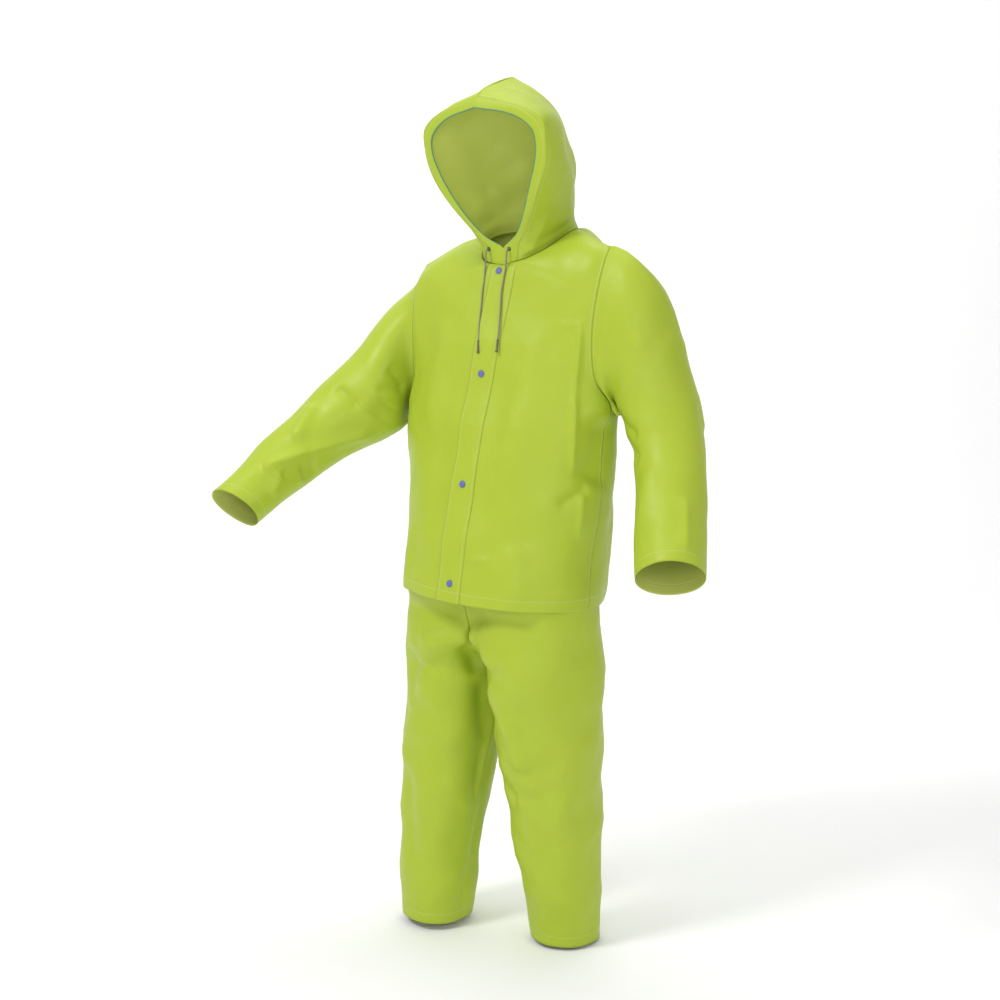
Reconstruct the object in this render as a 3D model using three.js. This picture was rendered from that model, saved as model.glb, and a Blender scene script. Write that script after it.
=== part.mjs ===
// Two-piece rain suit of coated film: a hooded, snap-fronted jacket over pull-on trousers.
// It keeps the hollow form it has when worn, so every panel is a thin wall round open space.
// Frame: millimetres, +Z up, the wearer faces -Y and the wearer's left side is at +X.
// The origin lies between the wearer's shoulders, where the jacket hangs.
import * as THREE from "three";

// Driving sizes.
const CLOTH = 1.5; // wall of a panel
const CASING = 2.2; // wall of a doubled edge
const SEAM_GAP = 0.3; // space left at every seam and under what lies on a panel
const NECK_RADIUS = 100; // neck seam, in plan
const NECK_AXIS_Y = 90; // how far behind the hem's centre the neck stands
const FRONT_EDGE_X = 16; // where the two fronts meet, under the placket
const PLACKET_SEAM_X = 34; // welded edge of the placket, on the wearer's left
const PLACKET_FREE_X = -26; // its free edge
const SNAP_HEIGHTS = [-11, -219, -443, -643];
const SNAP_X = 5;
const SNAP_RADIUS = 7.5;
const SNAP_RISE = 3;
const EYELET_RADIUS = 4.6;
const EYELET_HOLE = 2.3;
const EYELET_RISE = 1.2;
const CORD_DIAMETER = 3.4;
const TIP_LENGTH = 27;
const WAISTBAND_HEIGHT = 38;
const LEFT = 1;
const RIGHT = -1;

// Levels of the jacket body: 0 is the hem and 1 the shoulder seam.
const UNDERARM = 0.5;
const NECK_FRONT = 0.8;
const NECK_BACK = 0.9;
const ROWS_BELOW_UNDERARM = 9;
const FRONT_ROWS_AT_ARMHOLE = 5;
const BACK_ROWS_AT_ARMHOLE = 7;
const SIDE_COLUMNS = 6;
// Places round the neck seam, from the centre front (0) to the nape (1), that all panels there share.
const NECK_TURNS = [0, 0.1, 0.19, 0.28, 0.38, 0.5, 0.63, 0.76, 0.88, 1];
const SHOULDER_TURN = 5;
const SLEEVE_ROWS = 20;
const SLEEVE_CAP = 0.35; // share of the sleeve's length over which the armhole's shape dies out
const LEG_ROWS = 16; // from hem to crotch
const RISE_ROWS = 5; // from crotch to the jacket's hem
const HIP_ROWS = 5; // from there to the waist
const LEG_COLUMNS = 7;
const CROTCH = 0.62;
const HIP = 0.85; // the trousers' row at the jacket's hem
const HIP_Z = -690;
const WAIST_Z = -440;

const COLOURS = { cloth: 0xb4cc4a, snap: 0x6d74a4, cord: 0x9a9384, tip: 0x5d564c, eyelet: 0x6f7a6a };

const vec = (x, y, z) => new THREE.Vector3(x, y, z);
const mix = (a, b, t) => a + (b - a) * t;
const spread = (from, to, cells) => Array.from({ length: cells + 1 }, (_, i) => mix(from, to, i / cells));
const smooth = (t) => {
  const c = Math.min(1, Math.max(0, t));
  return c * c * (3 - 2 * c);
};

// Reads a table whose first column is the key: a smooth curve through its rows, column by column.
function tableCurve(columns, rows) {
  const slope = (i, c) => {
    const lo = rows[Math.max(0, i - 1)];
    const hi = rows[Math.min(rows.length - 1, i + 1)];
    return (hi[c] - lo[c]) / (hi[0] - lo[0]);
  };
  return (key) => {
    let i = 0;
    while (i < rows.length - 2 && key > rows[i + 1][0]) i++;
    const span = rows[i + 1][0] - rows[i][0];
    const t = Math.min(1, Math.max(0, (key - rows[i][0]) / span));
    const [t2, t3] = [t * t, t * t * t];
    const weigh = (c) =>
      (2 * t3 - 3 * t2 + 1) * rows[i][c] +
      (t3 - 2 * t2 + t) * span * slope(i, c) +
      (3 * t2 - 2 * t3) * rows[i + 1][c] +
      (t3 - t2) * span * slope(i + 1, c);
    return Object.fromEntries(columns.slice(1).map((name, c) => [name, weigh(c + 1)]));
  };
}

// A cubic curve from a to b; leave and arrive are the handles' offsets from those ends.
function bow(a, leave, arrive, b, t) {
  const s = 1 - t;
  return vec(0, 0, 0)
    .addScaledVector(a, s * s * s + 3 * s * s * t)
    .addScaledVector(leave, 3 * s * s * t)
    .addScaledVector(arrive, 3 * s * t * t)
    .addScaledVector(b, 3 * s * t * t + t * t * t);
}

// The wearer's stance: lean lifts the left side, turn swings the shoulders about the spine in degrees,
// sway moves the body sideways.
const SPINE_Y = 60;
const stance = tableCurve(["z", "lean", "turn", "sway"], [
  [-1420, -0.03, 0, 0],
  [-860, -0.04, 0, 0],
  [-700, -0.036, 0, -2],
  [-435, -0.01, 2, -9],
  [-278, 0.03, 4, -11],
  [-150, 0.06, 6, -6],
  [0, 0.085, 8, 0],
  [75, 0.05, 6, 0],
  [180, 0.02, 2, -4],
  [400, 0, 0, -5],
]);
function posed(p) {
  const { lean, turn, sway } = stance(p.z);
  const spine = vec(0, SPINE_Y, 0);
  const q = p.clone().sub(spine).applyAxisAngle(vec(0, 0, 1), THREE.MathUtils.degToRad(turn)).add(spine);
  return vec(q.x + sway, q.y, q.z + lean * p.x);
}

// Jacket body, one half. A row runs from the centre (i, at x = 0) or the neck seam to the side seam or armhole (o);
// f and g are the handles at those two ends.
const ROW_COLUMNS = ["level", "iy", "iz", "ox", "oy", "oz", "fx", "fy", "fz", "gx", "gy", "gz"];
const jacketFront = tableCurve(ROW_COLUMNS, [
  [0.0, -172, -683, 230, 4, -686, 138, 0, 0, 0, -96, 0],
  [0.15, -155, -578, 234, 18, -580, 140, 0, 0, 0, -97, 0],
  [0.32, -124, -435, 246, 30, -442, 141, 0, 0, 0, -92, 0],
  [0.5, -88, -284, 256, 36, -296, 140, 0, 0, -2, -82, 0],
  [0.6, -66, -190, 236, 0, -236, 125, 0, 0, -36, -42, 12],
  [0.7, -40, -100, 229, -14, -160, 110, 0, 0, -58, -30, 16],
  [0.8, -10, 0, 230, -12, -80, 95, -6, -4, -68, -22, 28],
  [0.9, 19.3, 22, 231, 6, -16, 62, -8, 19, -54, -8, 34],
  [1.0, 90, 62, 228, 34, 20, 46, -10, 14, -50, 10, 20],
]);
const jacketBack = tableCurve(ROW_COLUMNS, [
  [0.0, 174, -686, 230, 4, -686, 138, 0, 0, 0, 88, 0],
  [0.15, 188, -580, 234, 18, -580, 140, 0, 0, 0, 88, 0],
  [0.32, 188, -435, 246, 30, -442, 141, 0, 0, 0, 82, 0],
  [0.5, 186, -284, 256, 36, -296, 140, 0, 0, -4, 76, 0],
  [0.6, 194, -200, 246, 80, -236, 128, 0, 0, -18, 52, 6],
  [0.7, 200, -122, 240, 102, -160, 118, 0, 0, -38, 46, 10],
  [0.8, 200, -40, 237, 100, -92, 106, 0, 0, -50, 42, 16],
  [0.9, 190, 75, 232, 80, -26, 72, 0, -30, -54, 30, 20],
  [1.0, 90, 62, 228, 34, 20, 46, -10, 14, -50, 10, 20],
]);
// Side seam below the underarm, which front and back share.
const sideSeam = tableCurve(["level", "x", "y", "z"], [
  [0.0, 230, 4, -686],
  [0.15, 234, 18, -580],
  [0.32, 246, 30, -442],
  [0.5, 256, 36, -296],
]);
const neckHeight = tableCurve(["turn", "z"], [[0, 0], [0.2, 14], [0.5, 62], [0.8, 76], [1, 75]]);

function neckPoint(turn) {
  const a = Math.PI * turn;
  return vec(NECK_RADIUS * Math.sin(a), NECK_AXIS_Y - NECK_RADIUS * Math.cos(a), neckHeight(turn).z);
}

// The neck's turn at a row of the front or back, or null on the rows below the neck.
function turnAt(face, level) {
  if (face === "front") {
    return level < NECK_FRONT ? null : (0.5 * (level - NECK_FRONT)) / (1 - NECK_FRONT);
  }
  return level < NECK_BACK ? null : 1 - (0.5 * (level - NECK_BACK)) / (1 - NECK_BACK);
}

// A point of the jacket body before the stance: u runs from the centre (0) to the side (1).
function bodyPoint(face, level, u, side) {
  const r = (face === "front" ? jacketFront : jacketBack)(level);
  const turn = turnAt(face, level);
  const inner = turn === null ? vec(0, r.iy, r.iz) : neckPoint(turn);
  const seam = sideSeam(level);
  const outer = level <= UNDERARM ? vec(seam.x, seam.y, seam.z) : vec(r.ox, r.oy, r.oz);
  const p = bow(inner, vec(r.fx, r.fy, r.fz), vec(r.gx, r.gy, r.gz), outer, u);
  p.x *= side;
  return p;
}

const lowLevels = spread(0, UNDERARM, ROWS_BELOW_UNDERARM);
const frontLevels = [
  ...lowLevels,
  ...spread(UNDERARM, NECK_FRONT, FRONT_ROWS_AT_ARMHOLE).slice(1),
  ...NECK_TURNS.slice(1, SHOULDER_TURN + 1).map((turn) => mix(NECK_FRONT, 1, turn / 0.5)),
];
const backLevels = [
  ...lowLevels,
  ...spread(UNDERARM, NECK_BACK, BACK_ROWS_AT_ARMHOLE).slice(1),
  ...NECK_TURNS.slice(SHOULDER_TURN, -1).reverse().map((turn) => mix(1, NECK_BACK, (turn - 0.5) / 0.5)),
];

// Where a vertical line at x crosses a row of the front.
function uAtX(level, x) {
  let lo = 0;
  let hi = 0.6;
  for (let step = 0; step < 30; step++) {
    const mid = (lo + hi) / 2;
    if (bodyPoint("front", level, mid, LEFT).x < x) lo = mid;
    else hi = mid;
  }
  return (lo + hi) / 2;
}

// Columns of a front, as signed u: three near the centre keep to the placket's lines, the rest spread to the side.
const SHOULDER_COLUMNS = [0, 0.06, 0.13];
function frontColumns(level, side) {
  const low = Math.min(level, NECK_FRONT);
  const edge = FRONT_EDGE_X * (1 - smooth((low - 0.66) / (NECK_FRONT - 0.66)));
  const far = side === LEFT ? PLACKET_SEAM_X : PLACKET_FREE_X;
  const near = [edge, (edge + far) / 2, far].map((x) => Math.sign(x) * side * uAtX(low, Math.abs(x)));
  const up = Math.max(0, (level - NECK_FRONT) / (1 - NECK_FRONT));
  const centre = near.map((u, i) => mix(u, SHOULDER_COLUMNS[i], up));
  return [...centre, ...spread(centre[2], 1, SIDE_COLUMNS).slice(1)];
}
function frontRow(level, side) {
  return frontColumns(level, side).map((u) => bodyPoint("front", level, Math.abs(u), u < 0 ? -side : side));
}
function backRow(level, side) {
  const columns = [...SHOULDER_COLUMNS, ...spread(SHOULDER_COLUMNS[2], 1, SIDE_COLUMNS).slice(1)];
  return columns.map((u) => bodyPoint("back", level, u, side));
}

// How far each sleeve's cap leaves the shoulder outwards and upwards.
const CAP_TOP = { [LEFT]: { out: 66, up: 2 }, [RIGHT]: { out: 34, up: -54 } };
// Sleeves: rings down the arm. top is the radius towards the shoulder, across the one at right angles to it;
// slant sets the ring's top further down the arm than its underside.
const ARM_COLUMNS = ["along", "x", "y", "z", "top", "across", "slant"];
const arms = {
  [LEFT]: tableCurve(ARM_COLUMNS, [
    [0.0, 236, 75, -66, 92, 84, -90],
    [0.2, 276, 92, -126, 88, 86, -90],
    [0.35, 304, 104, -212, 82, 84, -75],
    [0.48, 334, 102, -290, 78, 80, -45],
    [0.6, 368, 84, -366, 73, 75, -20],
    [0.8, 422, 20, -490, 70, 69, 0],
    [1.0, 472, -45, -593, 70, 66, 0],
  ]),
  [RIGHT]: tableCurve(ARM_COLUMNS, [
    [0.0, -240, 30, -86, 102, 88, -90],
    [0.2, -276, 2, -186, 98, 90, -90],
    [0.35, -316, -43, -254, 98, 90, -70],
    [0.48, -354, -99, -308, 85, 82, -36],
    [0.6, -386, -157, -357, 75, 73, -14],
    [0.8, -418, -258, -434, 64, 62, 0],
    [1.0, -438, -362, -508, 56, 52, 12],
  ]),
};

// The armhole as a loop, from the underarm up the front, over the shoulder and down the back.
function armholeLoop(side) {
  const front = frontLevels.filter((level) => level >= UNDERARM);
  const back = backLevels.filter((level) => level > UNDERARM && level < 1).reverse();
  return [
    ...front.map((level) => posed(bodyPoint("front", level, 1, side))),
    ...back.map((level) => posed(bodyPoint("back", level, 1, side))),
  ];
}

function armRing(side, along, count) {
  const arm = arms[side];
  const centre = arm(along);
  const before = arm(Math.max(0, along - 0.02));
  const after = arm(Math.min(1, along + 0.02));
  const axis = vec(after.x - before.x, after.y - before.y, after.z - before.z).normalize();
  const up = vec(side, 0, 0.8);
  up.addScaledVector(axis, -up.dot(axis)).normalize();
  const front = new THREE.Vector3().crossVectors(axis, up).multiplyScalar(side);
  return Array.from({ length: count }, (_, i) => {
    const a = (2 * Math.PI * i) / count;
    return vec(centre.x, centre.y, centre.z)
      .addScaledVector(axis, -centre.slant * Math.cos(a))
      .addScaledVector(up, -centre.top * Math.cos(a))
      .addScaledVector(front, centre.across * Math.sin(a));
  });
}

// The cap leaves the armhole outwards, steeper at the underarm, and turns smoothly into the arm's rings.
function sleeveRows(side) {
  const loop = armholeLoop(side);
  const ring = armRing(side, SLEEVE_CAP, loop.length);
  const next = armRing(side, SLEEVE_CAP + 0.05, loop.length);
  return spread(0, 1, SLEEVE_ROWS).map((along) => {
    if (along >= SLEEVE_CAP) return armRing(side, along, loop.length);
    const t = along / SLEEVE_CAP;
    return loop.map((start, i) => {
      const high = (1 - Math.cos((2 * Math.PI * i) / loop.length)) / 2;
      const leave = vec(side * mix(36, CAP_TOP[side].out, high), 0, mix(-34, CAP_TOP[side].up, high));
      const arrive = next[i].clone().sub(ring[i]).multiplyScalar(-SLEEVE_CAP / 0.15);
      return bow(start, leave, arrive, ring[i], t);
    });
  });
}

// Hood, one half. A row runs from the casing seam (e) back to the centre seam (by, bz at x = 0);
// h is the handle at the front, rear and rise the one at the back. Level 0 is the neck seam, 1 the top.
const hood = tableCurve(["level", "ex", "ey", "ez", "hx", "hy", "hz", "rear", "rise", "by", "bz"], [
  [0.0, 31, -5, 4, 104, 6, 8, 133, 0, 190, 75],
  [0.1, 37, -9, 34, 96, 22, 8, 126, 0, 180, 102],
  [0.2, 58, -17, 62, 80, 42, 6, 118, 0, 174, 128],
  [0.32, 88, -30, 98, 50, 60, 4, 112, 0, 180, 160],
  [0.45, 124, -42, 145, 28, 68, 4, 110, 0, 182, 198],
  [0.58, 153, -48, 192, 12, 70, 4, 102, 0, 169, 240],
  [0.7, 163, -56, 238, 2, 64, 6, 88, 0, 142, 284],
  [0.8, 157, -62, 284, -4, 52, 10, 70, 2, 112, 326],
  [0.9, 98, -69, 315, -4, 44, 20, 44, 6, 78, 362],
  [1.0, 0, -76, 336, 0, 36, 44, 0, 4, 40, 382],
]);
// The edge of the opening, at the same levels. Below the first parting the two sides are joined.
const rim = tableCurve(["level", "x", "y", "z"], [
  [0.0, 0, -10, 0],
  [0.1, 0, -10, 34],
  [0.2, 37, -17, 60],
  [0.32, 68, -32, 97],
  [0.45, 98, -44, 143],
  [0.58, 124, -52, 190],
  [0.7, 138, -60, 234],
  [0.8, 130, -66, 268],
  [0.9, 84, -74, 296],
  [1.0, 0, -84, 312],
]);
const RIM_PARTS = 0.1;
const HOOD_LEVELS = [0, 0.1, 0.15, 0.21, 0.29, 0.38, 0.47, 0.56, 0.65, 0.74, 0.82, 0.9, 0.95, 1];
const HOOD_NECK_BLEND = 0.25;

function hoodPoint(level, turn, side) {
  const rowPoint = (at) => {
    const r = hood(at);
    const t = (turn - NECK_TURNS[1]) / (1 - NECK_TURNS[1]);
    return bow(vec(r.ex, r.ey, r.ez), vec(r.hx, r.hy, r.hz), vec(r.rear, 0, r.rise), vec(0, r.by, r.bz), t);
  };
  const p = rowPoint(level);
  const toNeck = neckPoint(turn).sub(rowPoint(0));
  p.addScaledVector(toNeck, 1 - smooth(level / HOOD_NECK_BLEND));
  p.x *= side;
  return p;
}
function rimPoint(level, side) {
  const r = rim(level);
  return vec(level <= RIM_PARTS || level === 1 ? 0 : side * r.x, r.y, r.z);
}

// Trousers, one half. A row runs from the rise or inseam (i) round to the side (o). Level 0 is the hem, 1 the waist.
const legFront = tableCurve(ROW_COLUMNS, [
  [0.0, 0, -1412, 213, 0, -1412, -6, -100, 0, 6, -100, 0],
  [0.2, 0, -1250, 222, 0, -1250, -4, -124, 0, 4, -120, 0],
  [0.4, 4, -1070, 226, 2, -1070, 2, -156, 0, 2, -140, 0],
  [0.55, 8, -920, 230, 2, -930, 10, -188, 0, 0, -146, 0],
  [0.62, 0, -838, 231, 2, -858, 26, -200, 0, 0, -142, 0],
  [0.7, -70, -802, 231, 3, -806, 70, -130, 0, 0, -126, 0],
  [0.78, -100, -752, 230, 4, -752, 108, -78, 0, 0, -112, 0],
  [0.85, -120, -690, 228.2, 4, -690, 122, -48, 0, 0, -98, 0],
]);
const legBack = tableCurve(ROW_COLUMNS, [
  [0.0, 0, -1412, 213, 0, -1412, -6, 105, 0, 6, 103, 0],
  [0.2, 0, -1250, 222, 0, -1250, -4, 120, 0, 4, 116, 0],
  [0.4, 4, -1070, 226, 2, -1070, 2, 148, 0, 2, 136, 0],
  [0.55, 8, -920, 230, 2, -930, 10, 182, 0, 0, 148, 0],
  [0.62, 0, -838, 231, 2, -858, 26, 200, 0, 0, 140, 0],
  [0.7, 96, -812, 231, 3, -806, 66, 110, 0, 0, 116, 0],
  [0.78, 146, -762, 230, 4, -752, 110, 40, 0, 0, 104, 0],
  [0.85, 164, -690, 228.2, 4, -690, 124, 2, 0, 0, 84, 0],
]);
// Inseam, which front and back share up to the crotch.
const inseam = tableCurve(["level", "x", "y", "z"], [
  [0.0, 70, 0, -1412],
  [0.2, 56, 0, -1250],
  [0.4, 29, 3, -1070],
  [0.55, 8, 6, -920],
  [0.62, 0, 0, -838],
]);
// How far each foot stands behind the hips.
const stride = tableCurve(["z", "left", "right"], [
  [-1420, 40, -64],
  [-1150, 22, -40],
  [-856, 0, 0],
  [-820, 0, 0],
  [-400, 0, 0],
]);
const legLevels = [
  ...spread(0, CROTCH, LEG_ROWS),
  ...spread(CROTCH, HIP, RISE_ROWS).slice(1),
  ...spread(HIP, 1, HIP_ROWS).slice(1),
];

// Under the jacket the trousers draw in from the hem's shape to the waist.
const WAIST_FIT = 0.76;
const WAIST_AXIS_Y = 30;
function hipPoint(face, level, u, side) {
  const share = (level - HIP) / (1 - HIP);
  const r = (face === "front" ? legFront : legBack)(HIP);
  const p = bow(vec(0, r.iy, 0), vec(r.fx, r.fy, 0), vec(r.gx, r.gy, 0), vec(r.ox, r.oy, 0), u);
  const fit = mix(1, WAIST_FIT, smooth(share));
  const axis = mix(0, WAIST_AXIS_Y, smooth(share));
  return vec(side * p.x * fit, axis + p.y * fit, mix(HIP_Z, WAIST_Z, share));
}
function legPoint(face, level, u, side) {
  if (level >= HIP) return hipPoint(face, level, u, side);
  const r = (face === "front" ? legFront : legBack)(level);
  const seam = inseam(level);
  const inner = level < CROTCH ? vec(seam.x, seam.y, seam.z) : vec(0, r.iy, r.iz);
  const p = bow(inner, vec(r.fx, r.fy, r.fz), vec(r.gx, r.gy, r.gz), vec(r.ox, r.oy, r.oz), u);
  const step = stride(p.z);
  p.y += side === LEFT ? step.left : step.right;
  p.x *= side;
  return p;
}
function legRow(level, side) {
  const columns = spread(0, 1, LEG_COLUMNS);
  const front = columns.map((u) => legPoint("front", level, u, side));
  const back = columns.slice(0, -1).reverse().map((u) => legPoint("back", level, u, side));
  return [...front, ...back];
}

// Panels. Points that coincide are one point, so a grid can close on itself.
const pointKey = (p) => [p.x, p.y, p.z].map((c) => Math.round(c * 100)).join(",");
const edgeKey = (a, b) => (a < b ? `${a}|${b}` : `${b}|${a}`);

// Turns one or more grids of points into a panel: its points, and its quads turned to face outwards.
function panelOf(name, grids, { wall = CLOTH, material = "cloth", inside }) {
  const points = new Map();
  const quads = [];
  for (const grid of grids) {
    const keys = grid.map((row) =>
      row.map((p) => {
        const key = pointKey(p);
        if (!points.has(key)) points.set(key, p.clone());
        return key;
      }),
    );
    for (let j = 0; j + 1 < keys.length; j++) {
      for (let i = 0; i + 1 < keys[j].length; i++) {
        const ring = [keys[j][i], keys[j][i + 1], keys[j + 1][i + 1], keys[j + 1][i]];
        quads.push(ring.filter((key, k) => key !== ring[(k + 1) % 4]));
      }
    }
  }
  const panel = { name, points, quads: quads.filter((quad) => quad.length > 2), wall, material };
  orient(panel, inside);
  return panel;
}

// The grid runs one way all over, so one test against the space inside the garment settles every quad.
function orient(panel, inside) {
  let away = 0;
  for (const quad of panel.quads) {
    const corners = quad.map((key) => panel.points.get(key));
    const centre = corners.reduce((sum, p) => sum.add(p), vec(0, 0, 0)).divideScalar(corners.length);
    away += quadNormal(panel, quad).dot(centre.clone().sub(inside(centre)));
  }
  if (away < 0) panel.quads.forEach((quad) => quad.reverse());
}

// A vector square to a quad or triangle, as long as twice its area.
function quadNormal(panel, quad) {
  const p = quad.map((key) => panel.points.get(key));
  const last = p[p.length - 1];
  return new THREE.Vector3().crossVectors(p[2].clone().sub(p[0]), last.clone().sub(p[1]));
}

// Edges that belong to one quad only, in the direction in which that quad runs.
function borderOf(panel) {
  const count = new Map();
  const each = (visit) =>
    panel.quads.forEach((quad) => quad.forEach((key, k) => visit(key, quad[(k + 1) % quad.length])));
  each((a, b) => count.set(edgeKey(a, b), (count.get(edgeKey(a, b)) || 0) + 1));
  const border = [];
  each((a, b) => {
    if (count.get(edgeKey(a, b)) === 1) border.push([a, b]);
  });
  return border;
}

// Panels that share a border edge are sewn there. Both take the mean of their normals at the seam, and each
// stands back by half of SEAM_GAP, so the cut faces on the two sides are parallel.
function sew(parts) {
  const normals = new Map();
  for (const panel of parts) {
    for (const quad of panel.quads) {
      const n = quadNormal(panel, quad);
      for (const key of quad) normals.set(key, (normals.get(key) || vec(0, 0, 0)).clone().add(n));
    }
  }
  normals.forEach((n) => n.normalize());
  const uses = new Map();
  const borders = parts.map(borderOf);
  for (const border of borders) {
    for (const [a, b] of border) uses.set(edgeKey(a, b), (uses.get(edgeKey(a, b)) || 0) + 1);
  }
  return parts.map((panel, k) => {
    const drawn = new Map();
    for (const [a, b] of borders[k]) {
      if (uses.get(edgeKey(a, b)) < 2) continue;
      const along = panel.points.get(b).clone().sub(panel.points.get(a));
      const inward = new THREE.Vector3().crossVectors(normals.get(a).clone().add(normals.get(b)), along).normalize();
      for (const key of [a, b]) drawn.set(key, [...(drawn.get(key) || []), inward]);
    }
    return { ...panel, normals, border: borders[k], drawn };
  });
}

// Moves a seam point back so that it stands clear of each edge that meets there by the same gap.
function drawnBack(p, inwards) {
  if (!inwards) return p.clone();
  const first = inwards[0];
  const other = inwards.find((d) => d.dot(first) < 0.999) || first;
  const sum = first.clone().add(other).normalize();
  return p.clone().addScaledVector(sum, SEAM_GAP / 2 / Math.max(0.4, sum.dot(first)));
}

function wallOf({ name, points, quads, wall, material, normals, border, drawn }) {
  const keys = [...points.keys()];
  const number = new Map(keys.map((key, i) => [key, i]));
  const outer = keys.map((key) => drawnBack(points.get(key), drawn.get(key)));
  const inner = outer.map((p, i) => p.clone().addScaledVector(normals.get(keys[i]), -wall));
  const faces = [];
  const fan = (ring) => ring.slice(2).forEach((_, k) => faces.push([ring[0], ring[k + 1], ring[k + 2]]));
  for (const quad of quads) {
    const ring = quad.map((key) => number.get(key));
    fan(ring);
    fan(ring.map((i) => i + keys.length).reverse());
  }
  for (const [a, b] of border) {
    // Both panels at a seam split its cut face along the same diagonal.
    const [i, j] = [number.get(a), number.get(b)];
    const cut = [j, i, i + keys.length, j + keys.length];
    fan(a < b ? cut : [...cut.slice(1), cut[0]]);
  }
  return meshOf(name, [...outer, ...inner], faces, material);
}

function meshOf(name, points, faces, material) {
  const geometry = new THREE.BufferGeometry();
  const numbers = points.flatMap((p) => [p.x, p.y, p.z]);
  geometry.setAttribute("position", new THREE.Float32BufferAttribute(numbers, 3));
  geometry.setIndex(faces.flat());
  geometry.computeVertexNormals();
  return finished(name, geometry, material);
}

function finished(name, geometry, material) {
  const finish = new THREE.MeshStandardMaterial({ color: COLOURS[material], roughness: 0.5, metalness: 0 });
  const mesh = new THREE.Mesh(geometry, finish);
  mesh.name = name;
  return mesh;
}

// The space inside each part of the suit, as a point on its axis near a given point of the wall.
const insideTorso = (p) => vec(0, 50, p.z);
const insideHood = () => vec(0, 60, 200);
const insideArm = (side) => (p) => {
  const centres = spread(0, 1, 20).map((along) => {
    const c = arms[side](along);
    return vec(c.x, c.y, c.z);
  });
  return centres.reduce((best, c) => (c.distanceTo(p) < best.distanceTo(p) ? c : best));
};
const insideLeg = (side) => (p) => vec(side * 110, 4, p.z);

const place = (rows) => rows.map((row) => row.map(posed));
const panels = [];
for (const [side, word] of [[LEFT, "left"], [RIGHT, "right"]]) {
  const front = place(frontLevels.map((level) => frontRow(level, side)));
  panels.push(panelOf(`front_${word}`, [front], { inside: insideTorso }));
  const sleeve = sleeveRows(side).map((ring) => [...ring, ring[0]]);
  panels.push(panelOf(`sleeve_${word}`, [sleeve], { inside: insideArm(side) }));
  const cheek = place(HOOD_LEVELS.map((level) => NECK_TURNS.slice(1).map((turn) => hoodPoint(level, turn, side))));
  panels.push(panelOf(`hood_${word}`, [cheek], { inside: insideHood }));
  const leg = place(legLevels.map((level) => legRow(level, side)));
  panels.push(panelOf(`leg_${word}`, [leg], { inside: insideLeg(side) }));
}
const backHalves = [LEFT, RIGHT].map((side) => place(backLevels.map((level) => backRow(level, side))));
backHalves[1].forEach((row) => row.reverse());
panels.push(panelOf("back", backHalves, { inside: insideTorso }));

const casingHalf = (side) =>
  HOOD_LEVELS.map((level) => [hoodPoint(level, NECK_TURNS[1], side), rimPoint(level, side)]);
const casing = place([...casingHalf(LEFT), ...casingHalf(RIGHT).reverse().slice(1)]);
panels.push(panelOf("hood_casing", [casing], { wall: CASING, inside: insideHood }));

// The waist's casing stands on the top rows of both legs and closes round them.
const waistRow = [...place([legRow(1, LEFT)])[0], ...place([legRow(1, RIGHT)])[0].reverse().slice(1)];
const waistRows = spread(0, WAISTBAND_HEIGHT, 2).map((rise) => waistRow.map((p) => vec(p.x, p.y, p.z + rise)));
panels.push(panelOf("waistband", [waistRows], { wall: CASING, inside: insideTorso }));

const suit = new THREE.Group();
const sewn = sew(panels);
for (const panel of sewn) suit.add(wallOf(panel));

// A strip that lies on panels: their points moved out along their normals, with SEAM_GAP beneath.
function stripOf(name, rows, wall) {
  const normals = new Map();
  const moved = rows.map((row) =>
    row.map((p) => {
      const n = sewn[0].normals.get(pointKey(p));
      const q = p.clone().addScaledVector(n, SEAM_GAP + wall);
      normals.set(pointKey(q), n);
      return q;
    }),
  );
  const panel = panelOf(name, [moved], { wall, inside: insideTorso });
  return { ...panel, normals, border: borderOf(panel), drawn: new Map() };
}
const PLACKET_COLUMNS = 3;
const placketRows = place(
  frontLevels.filter((level) => level <= NECK_FRONT).map((level) => [
    ...frontRow(level, LEFT).slice(0, PLACKET_COLUMNS).reverse(),
    ...frontRow(level, RIGHT).slice(1, PLACKET_COLUMNS),
  ]),
);
const placket = stripOf("placket", placketRows, CASING);
suit.add(wallOf(placket));

// Turned pieces stand on a surface point with their axis along the normal there.
function turned(name, profile, foot, axis, material, sides = 20) {
  const geometry = new THREE.LatheGeometry(profile.map(([r, h]) => new THREE.Vector2(r, h)), sides);
  const mesh = finished(name, geometry, material);
  mesh.position.copy(foot);
  mesh.quaternion.setFromUnitVectors(vec(0, 1, 0), axis);
  return mesh;
}

// The face of a grid of points at a given height and x, with the direction that it looks in.
function faceAt(rows, x, z) {
  let best = null;
  for (let j = 0; j + 1 < rows.length; j++) {
    for (let i = 0; i + 1 < rows[j].length; i++) {
      const corners = [rows[j][i], rows[j][i + 1], rows[j + 1][i + 1], rows[j + 1][i]];
      const centre = corners.reduce((sum, p) => sum.add(p), vec(0, 0, 0)).divideScalar(4);
      const miss = Math.hypot(centre.x - x, centre.z - z);
      if (best === null || miss < best.miss) best = { miss, corners, centre };
    }
  }
  const [a, b, c, d] = best.corners;
  const axis = new THREE.Vector3().crossVectors(c.clone().sub(a), d.clone().sub(b)).normalize();
  if (axis.y > 0) axis.negate();
  // Moves from the face's centre to the asked place, within the face's plane.
  const y = best.centre.y - ((x - best.centre.x) * axis.x + (z - best.centre.z) * axis.z) / axis.y;
  return { foot: vec(x, y, z), axis };
}
const SNAP_PROFILE = [
  [0, 0],
  [SNAP_RADIUS - 0.8, 0],
  [SNAP_RADIUS, 0.8],
  [SNAP_RADIUS - 0.6, 0.68 * SNAP_RISE],
  [0.55 * SNAP_RADIUS, 0.92 * SNAP_RISE],
  [0, SNAP_RISE],
];
const SEAT = 0.6; // under a round piece on a faceted panel
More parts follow.
